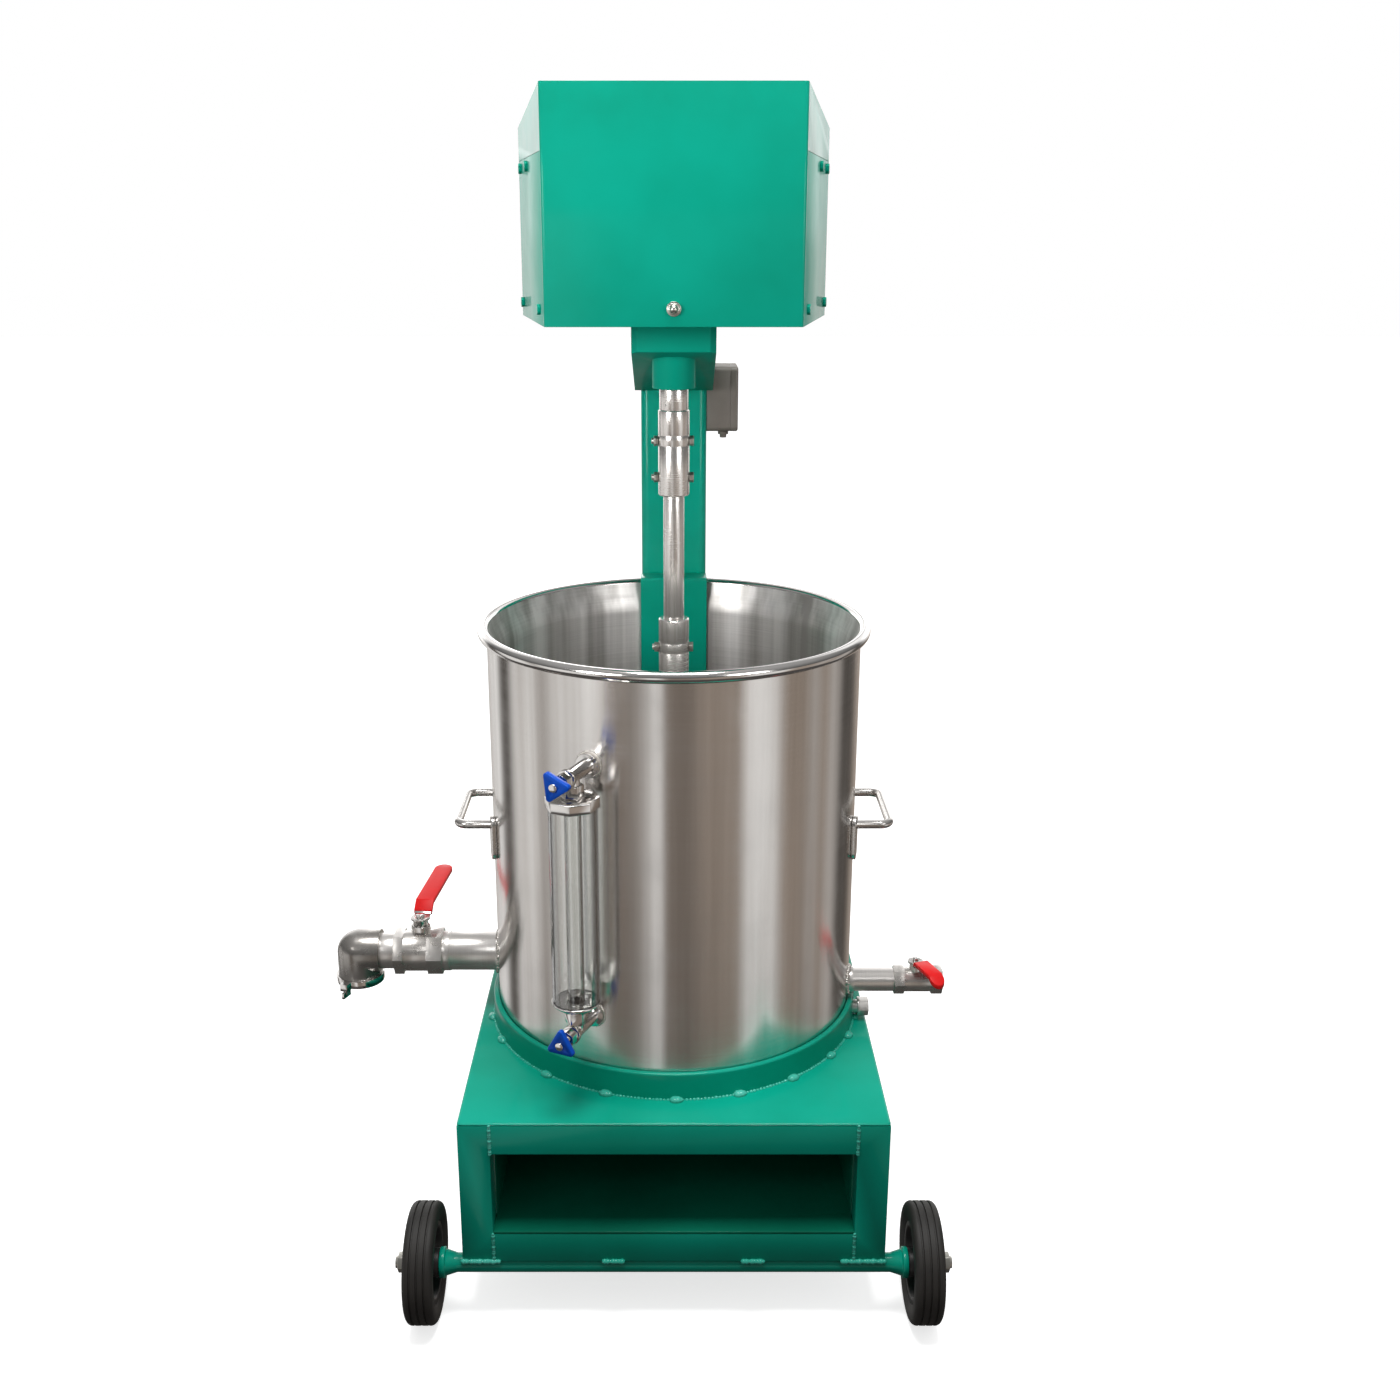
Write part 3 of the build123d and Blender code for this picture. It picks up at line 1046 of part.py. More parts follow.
def junction_box():
    """The connection box on the column's right side: body with a plugged cable gland, and lid."""
    x = COLUMN / 2
    seam = x + BOX_BODY
    rear = BOX_FRONT + BOX_DEPTH
    body = block(x, seam, BOX_FRONT, rear, BOX_LOW_Z, BOX_HIGH_Z)
    body = fillet(body.edges().filter_by(Axis.X), BOX_CORNER_R)
    hollow = block(x + BOX_WALL, seam + CUT, BOX_FRONT + BOX_WALL, rear - BOX_WALL, BOX_LOW_Z + BOX_WALL,
                   BOX_HIGH_Z - BOX_WALL)
    body -= fillet(hollow.edges().filter_by(Axis.X), BOX_CORNER_R - BOX_WALL)
    lid = block(seam, seam + BOX_LID, BOX_FRONT, rear, BOX_LOW_Z, BOX_HIGH_Z)
    lid = fillet(lid.edges().filter_by(Axis.X), BOX_CORNER_R)
    lid = fillet(lid.faces().sort_by(Axis.X)[-1].edges(), BOX_WALL)
    nut_low = BOX_LOW_Z - GLAND_NUT
    gland = hexagon(2 * GLAND_R, nut_low, BOX_LOW_Z) + rod(GLAND_TAIL, nut_low - GLAND_TAIL, nut_low)
    return body + Pos(x + GLAND_OUT, BOX_FRONT + GLAND_BACK, 0) * gland, lid


def build_all():
    """Every node by name."""
    parts["base_frame"] = base_frame()
    parts["base_top_plate"] = base_top_plate()
    parts["bay_tray"] = bay_tray()
    parts["foot_pads"] = foot_pads()
    parts["collar_ring"] = collar_ring()
    parts["axle_tube"], parts["front_axle"], parts["axle_nuts"] = axle_parts()
    hub, tyre = wheel_parts()
    parts["right_wheel_hub"] = hub
    parts["right_wheel_tyre"] = tyre
    parts["left_wheel_hub"] = mirror(hub, about=Plane.YZ)
    parts["left_wheel_tyre"] = mirror(tyre, about=Plane.YZ)
    parts["kettle_shell"] = kettle_shell()
    parts["inner_pot"] = inner_pot()
    parts["side_handles"] = group(both_sides(handle()))
    parts.update(outlet_parts())
    parts.update(drain_parts())
    parts["jacket_plug"] = jacket_plug()
    parts["gauge_upper_cock"] = gauge_valve(GAUGE_TOP_Z, 1, GUARD_TOP_Z + GUARD_CAP)
    parts["gauge_lower_cock"] = gauge_valve(GAUGE_LOW_Z, -1, GUARD_LOW_Z - GUARD_DISH)
    parts["gauge_upper_knob"], parts["gauge_upper_spindle"] = gauge_knob(GAUGE_TOP_Z, UPPER_KNOB_TURN)
    parts["gauge_lower_knob"], parts["gauge_lower_spindle"] = gauge_knob(GAUGE_LOW_Z, LOWER_KNOB_TURN)
    parts.update(gauge_guard_parts())
    parts["column"] = column()
    parts["rim_saddle"] = rim_saddle()
    parts["drive_head"] = drive_head()
    parts["shaft_bearings"] = shaft_bearings()
    parts["hood"], parts["hood_side_covers"], parts["hood_floor"] = hood_parts()
    parts["hood_screws"] = hood_screws()
    parts["gearbox"], parts["motor"] = gear_motor()
    line_names = ("drive_shaft", "mid_shaft", "shaft_couplings", "coupling_bolts")
    parts.update(zip(line_names, drive_line()))
    parts["agitator"] = agitator()
    parts["scrapers"] = scrapers()
    parts["junction_box"], parts["junction_box_lid"] = junction_box()


build_all()
os.makedirs("parts", exist_ok=True)
for name, shape in parts.items():
    shape.label = name
    export_step(shape, "parts/" + name + ".step")
print(len(parts), "nodes")
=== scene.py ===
# %% [markdown]
# # A cooking kettle with an agitator
#
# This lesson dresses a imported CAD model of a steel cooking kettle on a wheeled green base. The CAD solids
# are exact but bare: sharp edges, coarse facets, no finish. Each step below takes one kind of piece, says
# what it is on the real kettle, how it could be made in Blender, and why one way was chosen.
#
# The first step loads the frame. Every length is in metres, +Z is up, and the kettle's axis is the Z axis.

# %% Load the frame
import json
import math

import bpy
from mathutils import Matrix, Vector

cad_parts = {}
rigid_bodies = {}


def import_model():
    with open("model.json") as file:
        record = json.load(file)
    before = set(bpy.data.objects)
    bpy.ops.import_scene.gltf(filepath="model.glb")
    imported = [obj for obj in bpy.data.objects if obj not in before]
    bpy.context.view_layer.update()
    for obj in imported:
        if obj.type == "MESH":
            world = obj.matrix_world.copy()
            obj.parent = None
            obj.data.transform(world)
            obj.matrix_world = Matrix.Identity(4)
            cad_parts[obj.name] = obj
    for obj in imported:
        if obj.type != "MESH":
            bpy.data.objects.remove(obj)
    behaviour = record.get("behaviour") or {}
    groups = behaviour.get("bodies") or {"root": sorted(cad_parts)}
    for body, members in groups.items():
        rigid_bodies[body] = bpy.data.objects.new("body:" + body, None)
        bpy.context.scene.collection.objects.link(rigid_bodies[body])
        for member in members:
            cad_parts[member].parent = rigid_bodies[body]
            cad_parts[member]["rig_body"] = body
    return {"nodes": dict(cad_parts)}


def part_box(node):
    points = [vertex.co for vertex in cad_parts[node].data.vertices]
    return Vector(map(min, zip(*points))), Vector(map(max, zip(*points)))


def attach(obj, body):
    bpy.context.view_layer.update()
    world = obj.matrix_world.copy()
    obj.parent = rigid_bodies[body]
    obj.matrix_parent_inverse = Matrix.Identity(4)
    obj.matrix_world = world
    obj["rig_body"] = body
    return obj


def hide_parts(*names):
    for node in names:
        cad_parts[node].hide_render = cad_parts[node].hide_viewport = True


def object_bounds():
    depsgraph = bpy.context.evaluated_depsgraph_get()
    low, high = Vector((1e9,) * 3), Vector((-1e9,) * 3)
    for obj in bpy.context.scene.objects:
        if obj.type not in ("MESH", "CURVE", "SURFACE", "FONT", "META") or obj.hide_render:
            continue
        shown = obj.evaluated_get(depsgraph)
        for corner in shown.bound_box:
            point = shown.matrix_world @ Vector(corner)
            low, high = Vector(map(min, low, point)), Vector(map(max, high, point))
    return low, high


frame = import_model()


def corners(box):
    """A box as plain lists of numbers."""
    return [list(map(float, corner)) for corner in box]


cad_box = corners(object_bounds())
print("nodes", len(frame["nodes"]), "box", cad_box)

# %% [markdown]
# ## The camera
#
# The photograph was taken from the front, a little above the rim, with the camera tipped down. Its place
# and its field of view were worked out from the kettle's ellipses and the base's edges, so they are
# written as real sizes. The alternative, moving the camera until the picture looks alike, never settles,
# because distance and lens trade off.

# %% The camera
CAMERA_BACK = 2.046
CAMERA_HEIGHT = 1.3213
CAMERA_TIP = math.radians(17.155)
FOCAL_PIXELS = 1510.0
FRAME_PIXELS = 1400.0
CENTRE_PIXELS = 673.8
SENSOR_MM = 36.0

camera_data = bpy.data.cameras.new("camera")
camera = bpy.data.objects.new("camera", camera_data)
bpy.context.scene.collection.objects.link(camera)
camera.location = (0, -CAMERA_BACK, CAMERA_HEIGHT)
camera.rotation_euler = (math.pi / 2 - CAMERA_TIP, 0, 0)
camera_data.sensor_width = SENSOR_MM
camera_data.sensor_fit = "HORIZONTAL"
camera_data.lens = SENSOR_MM * FOCAL_PIXELS / FRAME_PIXELS
camera_data.shift_x = 0.5 - CENTRE_PIXELS / FRAME_PIXELS
camera_data.dof.use_dof = False
bpy.context.scene.camera = camera
print("lens", round(camera_data.lens, 2), "shift", round(camera_data.shift_x, 4))

# %% [markdown]
# ## Shader maths
#
# A finish is mostly arithmetic on patterns: a little of this noise, stretched that way, added to a
# roughness. In the node editor that is a drawer full of Math nodes. Here a small class wraps a socket and
# overloads the operators, so a finish reads as a formula. Numbers that don't change over the surface are
# set on the shader's own sockets.


# %% Shader maths
class Wire:
    """An output socket that takes part in Python arithmetic."""

    def __init__(self, graph, socket):
        self.graph = graph
        self.socket = socket

    def maths(self, operation, first, second):
        return self.graph.node("ShaderNodeMath", {"operation": operation}, {0: first, 1: second})

    def __add__(self, other):
        return self.maths("ADD", self, other)

    def __radd__(self, other):
        return self.maths("ADD", other, self)

    def __sub__(self, other):
        return self.maths("SUBTRACT", self, other)

    def __rsub__(self, other):
        return self.maths("SUBTRACT", other, self)

    def __mul__(self, other):
        return self.maths("MULTIPLY", self, other)

    def __rmul__(self, other):
        return self.maths("MULTIPLY", other, self)


class Graph:
    """A node tree, with a short way to add a node and get its output as a wire."""

    def __init__(self, tree):
        self.tree = tree

    def feed(self, socket, value):
        """Set a socket to a number, or link a wire to it."""
        if isinstance(value, Wire):
            self.tree.links.new(value.socket, socket)
        else:
            socket.default_value = value

    def node(self, kind, settings=None, inputs=None, output=0):
        """Add a node, set it up, feed it, and return one of its outputs."""
        made = self.tree.nodes.new(kind)
        for setting, value in (settings or {}).items():
            setattr(made, setting, value)
        for socket, value in (inputs or {}).items():
            self.feed(made.inputs[socket], value)
        return Wire(self, made.outputs[output])

    def mix(self, factor, low, high, blend="MIX"):
        """A colour between two colours, or their sum with the blend ADD and a factor of 1."""
        settings = {"data_type": "RGBA", "blend_type": blend}
        return self.node("ShaderNodeMix", settings, {0: factor, 6: low, 7: high}, 2)

    def sharpen(self, wire, low, high):
        """A wire's values from low to high, spread over 0 to 1."""
        return self.node("ShaderNodeMapRange", {}, {"Value": wire, "From Min": low, "From Max": high})

    def stops(self, wire, colours):
        """A colour ramp over a wire, from (position, colour) pairs."""
        ramp = self.tree.nodes.new("ShaderNodeValToRGB")
        self.feed(ramp.inputs[0], wire)
        elements = ramp.color_ramp.elements
        for number, (position, colour) in enumerate(colours):
            element = elements[number] if number < 2 else elements.new(position)
            element.position = position
            element.color = colour
        return Wire(self, ramp.outputs[0])


class Finish(Graph):
    """A material that is being made: its nodes, and its Principled shader."""

    def __init__(self, name, **constants):
        self.material = bpy.data.materials.new(name)
        self.material.use_nodes = True
        super().__init__(self.material.node_tree)
        self.shader = self.tree.nodes["Principled BSDF"]
        for socket, value in constants.items():
            self.shader.inputs[socket.replace("_", " ")].default_value = value
        self.coordinates = self.node("ShaderNodeTexCoord", output="Object")

    def noise(self, scale, stretch=(1, 1, 1), detail=3.0):
        """Cloudy noise in the piece's own space, finer along an axis whose stretch is larger."""
        place = self.node("ShaderNodeMapping", {}, {"Vector": self.coordinates, "Scale": stretch})
        return self.node("ShaderNodeTexNoise", {}, {"Vector": place, "Scale": scale, "Detail": detail})

    def set(self, socket, value):
        """Feed one of the shader's sockets."""
        self.feed(self.shader.inputs[socket], value)

    def relief(self, height, strength, distance):
        """Raise the surface by a pattern, through a bump."""
        bump = {"Height": height, "Strength": strength, "Distance": distance}
        self.set("Normal", self.node("ShaderNodeBump", {}, bump, "Normal"))


def linear(level):
    """One channel of a screen colour, 0 to 255, as the amount of light it stands for."""
    if level > 10:
        return ((level / 255 + 0.055) / 1.055) ** 2.4
    return level / 255 / 12.92


def paint_colour(red, green, blue):
    """A screen colour as the linear colour that a shader wants."""
    return (linear(red), linear(green), linear(blue), 1)


def grey(level):
    """A plain grey, from 0 for black to 1 for white."""
    return (level, level, level, 1)


print("shader maths ready")

# %% [markdown]
# ## Green gloss paint
#
# The base, column and hood are sprayed with a gloss teal green. A real coat is never one flat colour: it is
# a little thicker and darker in patches, it has a fine orange-peel ripple that breaks up reflections, and
# its gloss varies where hands and cloths have been. Two close greens are mixed by a slow noise, and a fast
# noise makes the ripple. A painted picture would do the same for one view only.


# %% Green gloss paint
def green_paint(name, gloss, deep=(0, 152, 125), fresh=(0, 172, 146)):
    coat = Finish(name, Coat_Roughness=0.08, Coat_IOR=1.35, IOR=1.2)
    patches = coat.noise(5.0, detail=4.0)
    ripple = coat.noise(300.0, detail=1.0)
    touched = coat.noise(22.0, detail=5.0)
    tint = coat.sharpen(patches, 0.3, 0.7)
    coat.set("Base Color", coat.mix(tint, paint_colour(*deep), paint_colour(*fresh)))
    coat.set("Roughness", 0.5 - 0.3 * gloss + 0.12 * touched)
    coat.set("Coat Weight", gloss * (0.7 + 0.3 * patches))
    coat.relief(ripple + 0.4 * patches, 0.05, 0.0005)
    return coat.material


GREEN = green_paint("green_gloss", 0.5)
COVER_GREEN = green_paint("green_satin", 0.3)
# The weld bead green is glossier and paler than the paint: its paler colour is a painted highlight.
BEAD_GREEN_PAINTED_HIGHLIGHT = green_paint("green_bead_painted_highlight", 1.0, (24, 165, 140), (90, 205, 185))
HEAD_GREEN = green_paint("green_matt", 0.08)
# The tray green is darker than the paint: painted shade for the inside of the base's bay.
TRAY_GREEN_PAINTED_SHADE = green_paint("green_tray_painted_shade", 0.2, (0, 94, 72), (2, 118, 92))
print("greens", GREEN.name, COVER_GREEN.name, BEAD_GREEN_PAINTED_HIGHLIGHT.name, HEAD_GREEN.name, TRAY_GREEN_PAINTED_SHADE.name)

# %% [markdown]
# ## Brushed steel
#
# The kettle's wall was brushed while it turned, so its scratches run round it, and pipes were brushed round
# too. A scratch is a very long, very thin noise: the noise is squeezed hard along the part's axis and left
# slow across it. The same scratches drive the colour, the roughness and a faint relief, so they agree with
# each other. A painted picture of scratches would tile and would not follow the parts. Upright streaks are
# also painted into the colour. They are painted reflections: the upright bands of the room that a curved
# steel wall shows, strongest on the pot's inside.

# %% Brushed steel
PAINTED_STREAK_STRETCH = (26, 26, 0.7)
STEEL_PALE = (0.74, 0.72, 0.7)
STEEL_WARM = (0.74, 0.7, 0.66)


def shaded(colour, level):
    """A colour made brighter or darker."""
    return tuple(level * channel for channel in colour) + (1,)


def brushed_steel(name, stretch, shade=1.0, rough=0.24, depth=0.02, painted_reflection_streaks=0.3, low=0.67, **constants):
    """Steel with fine scratches and painted reflection streaks. Low is how dark its dark places are, next to
    its pale ones.
    """
    steel = Finish(name, **({"Metallic": 1.0} | constants))
    scratches = steel.noise(1.0, stretch, detail=2.0)
    broad = steel.noise(3.0, detail=3.0)
    smears = steel.noise(16.0, detail=5.0)
    # Upright streaks in the colour are painted reflections of the room's upright bands.
    upright = steel.sharpen(steel.noise(1.0, PAINTED_STREAK_STRETCH, detail=4.0), 0.3, 0.7)
    tone = 0.4 * scratches + 0.3 * broad + 0.2 * smears + painted_reflection_streaks * (upright - 0.5)
    steel.set("Base Color", steel.mix(tone, shaded(STEEL_WARM, low * shade), shaded(STEEL_PALE, shade)))
    steel.set("Roughness", rough - 0.05 + 0.1 * scratches + 0.05 * steel.sharpen(smears, 0.45, 0.75))
    steel.relief(scratches, depth, 0.0002)
    return steel.material


SHELL_STEEL = brushed_steel("shell_steel", (5, 5, 900), rough=0.19, depth=0.008, painted_reflection_streaks=0.9,
                            Anisotropic=0.85, Anisotropic_Rotation=0.25)
# The pot's inside carries the strongest painted reflection streaks, and its low tone makes them darker.
POT_STEEL = brushed_steel("pot_steel", (6, 6, 700), shade=1.05, rough=0.36, depth=0.01, painted_reflection_streaks=1.4,
                          low=0.42, Metallic=0.55, Anisotropic=0.3, Anisotropic_Rotation=0.25)
UPRIGHT_STEEL = brushed_steel("upright_steel", (9, 9, 1100), shade=1.2, Metallic=0.85)
SIDEWAYS_STEEL = brushed_steel("sideways_steel", (1100, 9, 9), shade=1.2, rough=0.32, painted_reflection_streaks=0.0,
                               Metallic=0.78)
PLATE_STEEL = brushed_steel("plate_steel", (300, 300, 300))
print("brushed", SHELL_STEEL.name, POT_STEEL.name, UPRIGHT_STEEL.name, SIDEWAYS_STEEL.name)

# %% [markdown]
# ## Polished, cast and welded steel
#
# The rim, nuts and gauge fittings are polished, the valve bodies and the elbow are castings, and the weld
# beads are straw-coloured from the heat. Polished steel is a mirror with faint wipe marks, so only its
# roughness moves much. A casting is dull in patches and has a sandy grain. Each is one short formula, since
# three finishes read better than one with many switches.


# %% Polished, cast and welded steel
def polished_steel():
    steel = Finish("polished_steel", Metallic=1.0)
    smears = steel.noise(24.0, detail=5.0)
    lines = steel.noise(1.0, (12, 12, 500), detail=2.0)
    steel.set("Base Color", steel.mix(smears, (0.62, 0.6, 0.58, 1), (0.78, 0.76, 0.74, 1)))
    steel.set("Roughness", 0.08 + 0.12 * smears)
    steel.relief(lines, 0.03, 0.0003)
    return steel.material


def cast_steel(name, shade):
    steel = Finish(name, Metallic=0.8)
    grain = steel.noise(900.0, detail=2.0)
    stains = steel.noise(28.0, detail=5.0)
    tint = steel.sharpen(stains, 0.35, 0.7)
    dull = shaded((0.55, 0.52, 0.485), shade)
    bright = shaded((0.74, 0.71, 0.68), shade)
    steel.set("Base Color", steel.mix(tint, dull, bright))
    steel.set("Roughness", 0.18 + 0.2 * stains)
    steel.relief(grain + 0.5 * stains, 0.04, 0.0003)
    return steel.material


def weld_steel():
    steel = Finish("weld_steel", Metallic=1.0)
    grain = steel.noise(500.0, detail=3.0)
    heat = steel.noise(45.0, detail=3.0)
    steel.set("Base Color", steel.mix(heat, (0.5, 0.46, 0.4, 1), (0.68, 0.66, 0.64, 1)))
    steel.set("Roughness", 0.2 + 0.22 * grain)
    steel.relief(grain, 0.2, 0.0006)
    return steel.material


POLISHED = polished_steel()
CAST = cast_steel("cast_steel", 1.0)
DARK_CAST = cast_steel("dark_cast_steel", 0.6)
WELD = weld_steel()
print("steels", POLISHED.name, CAST.name, DARK_CAST.name, WELD.name)

# %% [markdown]
# ## Plastics, rubber and glass
#
# The lever sleeves are soft dipped plastic, the knobs are hard moulded plastic, the tyres are solid rubber
# and the gauge is a clear tube. Each has a base colour that drifts a little, its own gloss and its own fine
# relief: pimples on the dipped sleeve, a moulding grain on the box, dust in the tread. The clear tubes'
# colour is darkened where they are seen edge on. This is painted shade, which stands in for the dark edges
# that a real tube's wall shows by bending the light, and which a plain glass shader loses against a white
# backdrop.


# %% Plastics, rubber and glass
def moulded(name, low, high, rough, grain_scale, grain_depth, **constants):
    """A plain material between two screen colours, with a fine grain."""
    plastic = Finish(name, **constants)
    drift = plastic.noise(35.0, detail=4.0)
    grain = plastic.noise(grain_scale, detail=2.0)
    plastic.set("Base Color", plastic.mix(drift, paint_colour(*low), paint_colour(*high)))
    plastic.set("Roughness", rough + 0.18 * drift)
    plastic.relief(grain, grain_depth, 0.0005)
    return plastic.material


def clear_tube(name, tint, rough):
    clear = Finish(name, Transmission_Weight=1.0, IOR=1.47)
    wipe = clear.noise(1.0, (90, 90, 700), detail=2.0)
    # The darkening of the colour where the tube is seen edge on is painted shade.
    facing = clear.node("ShaderNodeLayerWeight", output="Facing")
    edge = clear.sharpen(facing, 0.3, 0.75)
    clear.set("Base Color", clear.mix(edge, clear.mix(wipe, tint, grey(1)), grey(0.04)))
    clear.set("Roughness", rough + 0.03 * wipe)
    clear.relief(wipe, 0.02, 0.0003)
    return clear.material


RED = moulded("red_sleeve", (212, 16, 20), (236, 34, 34), 0.3, 700.0, 0.12, Specular_IOR_Level=0.2)
BLUE = moulded("blue_knob", (0, 62, 170), (0, 88, 208), 0.22, 500.0, 0.06, Specular_IOR_Level=0.25)
TYRE = moulded("tyre_rubber", (18, 17, 17), (50, 47, 43), 0.55, 260.0, 0.3)
FOOT = moulded("foot_rubber", (24, 24, 24), (44, 42, 40), 0.6, 300.0, 0.25)
HUB = moulded("hub_plastic", (22, 22, 23), (40, 39, 38), 0.4, 400.0, 0.12)
BOX_GREY = moulded("box_grey", (106, 99, 93), (124, 117, 110), 0.38, 650.0, 0.14)
SCRAPER = moulded("scraper_plastic", (226, 224, 214), (240, 238, 230), 0.42, 300.0, 0.1)
CASE = moulded("gear_case", (120, 122, 124), (146, 148, 150), 0.4, 500.0, 0.2, Metallic=0.6)
ZINC = moulded("zinc", (170, 168, 160), (206, 204, 196), 0.22, 800.0, 0.12, Metallic=1.0)
GUARD = clear_tube("clear_guard", (0.93, 0.96, 0.95, 1), 0.02)
GLASS = clear_tube("gauge_glass", (0.95, 0.97, 0.96, 1), 0.01)
print("plastics", RED.name, BLUE.name, TYRE.name, BOX_GREY.name)

# %% [markdown]
# ## Helpers for modelling
#
# Operators act on whatever is selected, so each helper first selects exactly one object. A piece's place
# goes into its mesh at the end, so that patterns on Object coordinates stay put.

# %% Helpers for modelling
SMOOTH_ANGLE = 34
FLAT_ANGLE = 0.6
TIGHT_MERGE = 0.00001


def select_only(piece):
    """Leave object mode with this piece selected and active."""
    bpy.ops.object.select_all(action="DESELECT")
    piece.select_set(True)
    bpy.context.view_layer.objects.active = piece


def body_of(node):
    """The moving body that a CAD node belongs to."""
    return frame["nodes"][node]["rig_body"]


def apply_modifier(piece, kind, **settings):
    """Add a modifier, set it up and apply it."""
    select_only(piece)
    modifier = piece.modifiers.new(kind.lower(), kind)
    for setting, value in settings.items():
        setattr(modifier, setting, value)
    bpy.ops.object.modifier_apply(modifier=modifier.name)


def finish_piece(piece, name, material, body, smooth=SMOOTH_ANGLE):
    """Name a piece, put its place into its mesh, smooth it, give it a finish and let it ride."""
    select_only(piece)
    bpy.ops.object.transform_apply(location=True, rotation=True, scale=True)
    bpy.ops.object.shade_smooth_by_angle(angle=math.radians(smooth))
    piece.name = name
    piece.data.name = name
    piece.data.materials.clear()
    piece.data.materials.append(material)
    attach(piece, body)


def stand_for(piece, name, node, material):
    """Finish a piece that takes the place of a CAD node."""
    finish_piece(piece, name, material, body_of(node))
    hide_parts(node)


def second_finish(piece, material, chosen):
    """Give the faces whose middle passes the test a finish of their own."""
    piece.data.materials.append(material)
    for face in piece.data.polygons:
        if chosen(face.center):
            face.material_index = 1


print("helpers ready")

# %% [markdown]
# ## Softened copies
#
# Most pieces are right in the CAD model except that their edges are knife sharp and their facets are flat.
# Real edges are broken by a file, a bend or a coat of paint, and that thin rounding is what catches the
# light. So each such piece is copied, its loose triangles are merged and its flat faces cleaned, and a
# narrow bevel rounds the sharp edges. The copy stands for the CAD solid. Modelling them again by hand would
# only repeat the CAD work.
#
# The hood's outer screws were sprayed with their covers, and only the domed nut in front is bare.


# %% Softened copies
def softened(node, material, width):
    """A copy of a CAD node with merged faces and rounded edges, which stands for it."""
    source = frame["nodes"][node]
    piece = bpy.data.objects.new(node + "_dressed", source.data.copy())
    bpy.context.scene.collection.objects.link(piece)
    select_only(piece)
    bpy.ops.object.mode_set(mode="EDIT")
    bpy.ops.mesh.select_all(action="SELECT")
    bpy.ops.mesh.remove_doubles(threshold=2 * TIGHT_MERGE)
    bpy.ops.mesh.dissolve_limited(angle_limit=math.radians(FLAT_ANGLE))
    bpy.ops.object.mode_set(mode="OBJECT")
    apply_modifier(piece, "BEVEL", width=width, segments=2, limit_method="ANGLE",
                   angle_limit=math.radians(SMOOTH_ANGLE), use_clamp_overlap=True)
    stand_for(piece, node + "_dressed", node, material)
    return piece


SOFTENED = [
    (GREEN, 0.0022, ["base_frame", "base_top_plate"]),
    (HEAD_GREEN, 0.0012, ["drive_head"]),
    (GREEN, 0.0012, ["rim_saddle", "hood_floor", "axle_tube", "column"]),
    # The bay's tray gets the darker green, painted shade for the inside of the bay.
    (TRAY_GREEN_PAINTED_SHADE, 0.0012, ["bay_tray"]),
    (GREEN, 0.0006, ["hood"]),
    (COVER_GREEN, 0.0006, ["hood_side_covers"]),
    (SIDEWAYS_STEEL, 0.0006, ["outlet_pipe", "outlet_nipple", "drain_pipe", "jacket_plug"]),
    (CAST, 0.0009, ["outlet_valve_body", "drain_valve_body"]),
    (POLISHED, 0.0009, ["gauge_upper_cock", "gauge_lower_cock", "gauge_guard_cap", "gauge_guard_dish"]),
    (DARK_CAST, 0.0012, ["outlet_elbow"]),
    (POLISHED, 0.0006, ["outlet_gland_nut", "outlet_stem", "drain_stem", "outlet_ball", "drain_ball",
                        "outlet_clamp", "gauge_upper_spindle", "gauge_lower_spindle"]),
    (PLATE_STEEL, 0.0007, ["outlet_lever", "drain_lever", "side_handles"]),
    (RED, 0.0014, ["outlet_grip", "drain_grip"]),
    (BLUE, 0.0016, ["gauge_upper_knob", "gauge_lower_knob"]),
    (UPRIGHT_STEEL, 0.0006, ["drive_shaft", "mid_shaft", "shaft_couplings", "agitator", "shaft_bearings"]),
    (ZINC, 0.0006, ["coupling_bolts", "hood_screws", "axle_nuts", "front_axle"]),
    (HUB, 0.0012, ["right_wheel_hub", "left_wheel_hub"]),
    (FOOT, 0.0015, ["foot_pads"]),
    (BOX_GREY, 0.001, ["junction_box", "junction_box_lid"]),
    (CASE, 0.002, ["gearbox", "motor"]),
    (SCRAPER, 0.0008, ["scrapers"]),
]
FRONT_NUT_REACH = 0.05
dressed = {}
for material, width, names in SOFTENED:
    for node in names:
        dressed[node] = softened(node, material, width)
second_finish(dressed["hood_screws"], COVER_GREEN, lambda place: abs(place.x) > FRONT_NUT_REACH)
print("softened", len(dressed), "pieces")

# %% [markdown]
# ## Turned pieces
#
# The kettle's wall, its pot, the rolled rim, the collar and the tyres are all surfaces of revolution, and
# they are the widest curves in the picture, where the CAD model's facets would show. A turned piece starts
# as one point of its profile, extruded step by step along the outline, and the outline is then spun round
# its axis. A modifier could spin it too, but the operator leaves a plain mesh that needs no applying.

# %% Turned pieces
FINE_STEPS = 256
TYRE_STEPS = 128
TUBE_STEPS = 72


def turned(profile, steps):
    """An outline of (radius, height) points, closed on itself or ending on the axis, spun round Z."""
    bpy.ops.object.select_all(action="DESELECT")
    bpy.ops.mesh.primitive_plane_add(size=0.01, location=(0, 0, 0))
    piece = bpy.context.object
    start = Vector((profile[0][0], 0, profile[0][1]))
    bpy.ops.object.mode_set(mode="EDIT")
    bpy.ops.mesh.merge(type="CENTER")
    bpy.ops.transform.translate(value=start)
    for before, after in zip(profile, profile[1:]):
        step = Vector((after[0] - before[0], 0, after[1] - before[1]))
        bpy.ops.mesh.extrude_region_move(TRANSFORM_OT_translate={"value": step})
    bpy.ops.mesh.select_all(action="SELECT")
    bpy.ops.mesh.spin(steps=steps, angle=2 * math.pi, center=(0, 0, 0), axis=(0, 0, 1))
    bpy.ops.mesh.select_all(action="SELECT")
    bpy.ops.mesh.remove_doubles(threshold=TIGHT_MERGE)
    bpy.ops.mesh.normals_make_consistent(inside=False)
    bpy.ops.object.mode_set(mode="OBJECT")
    return piece


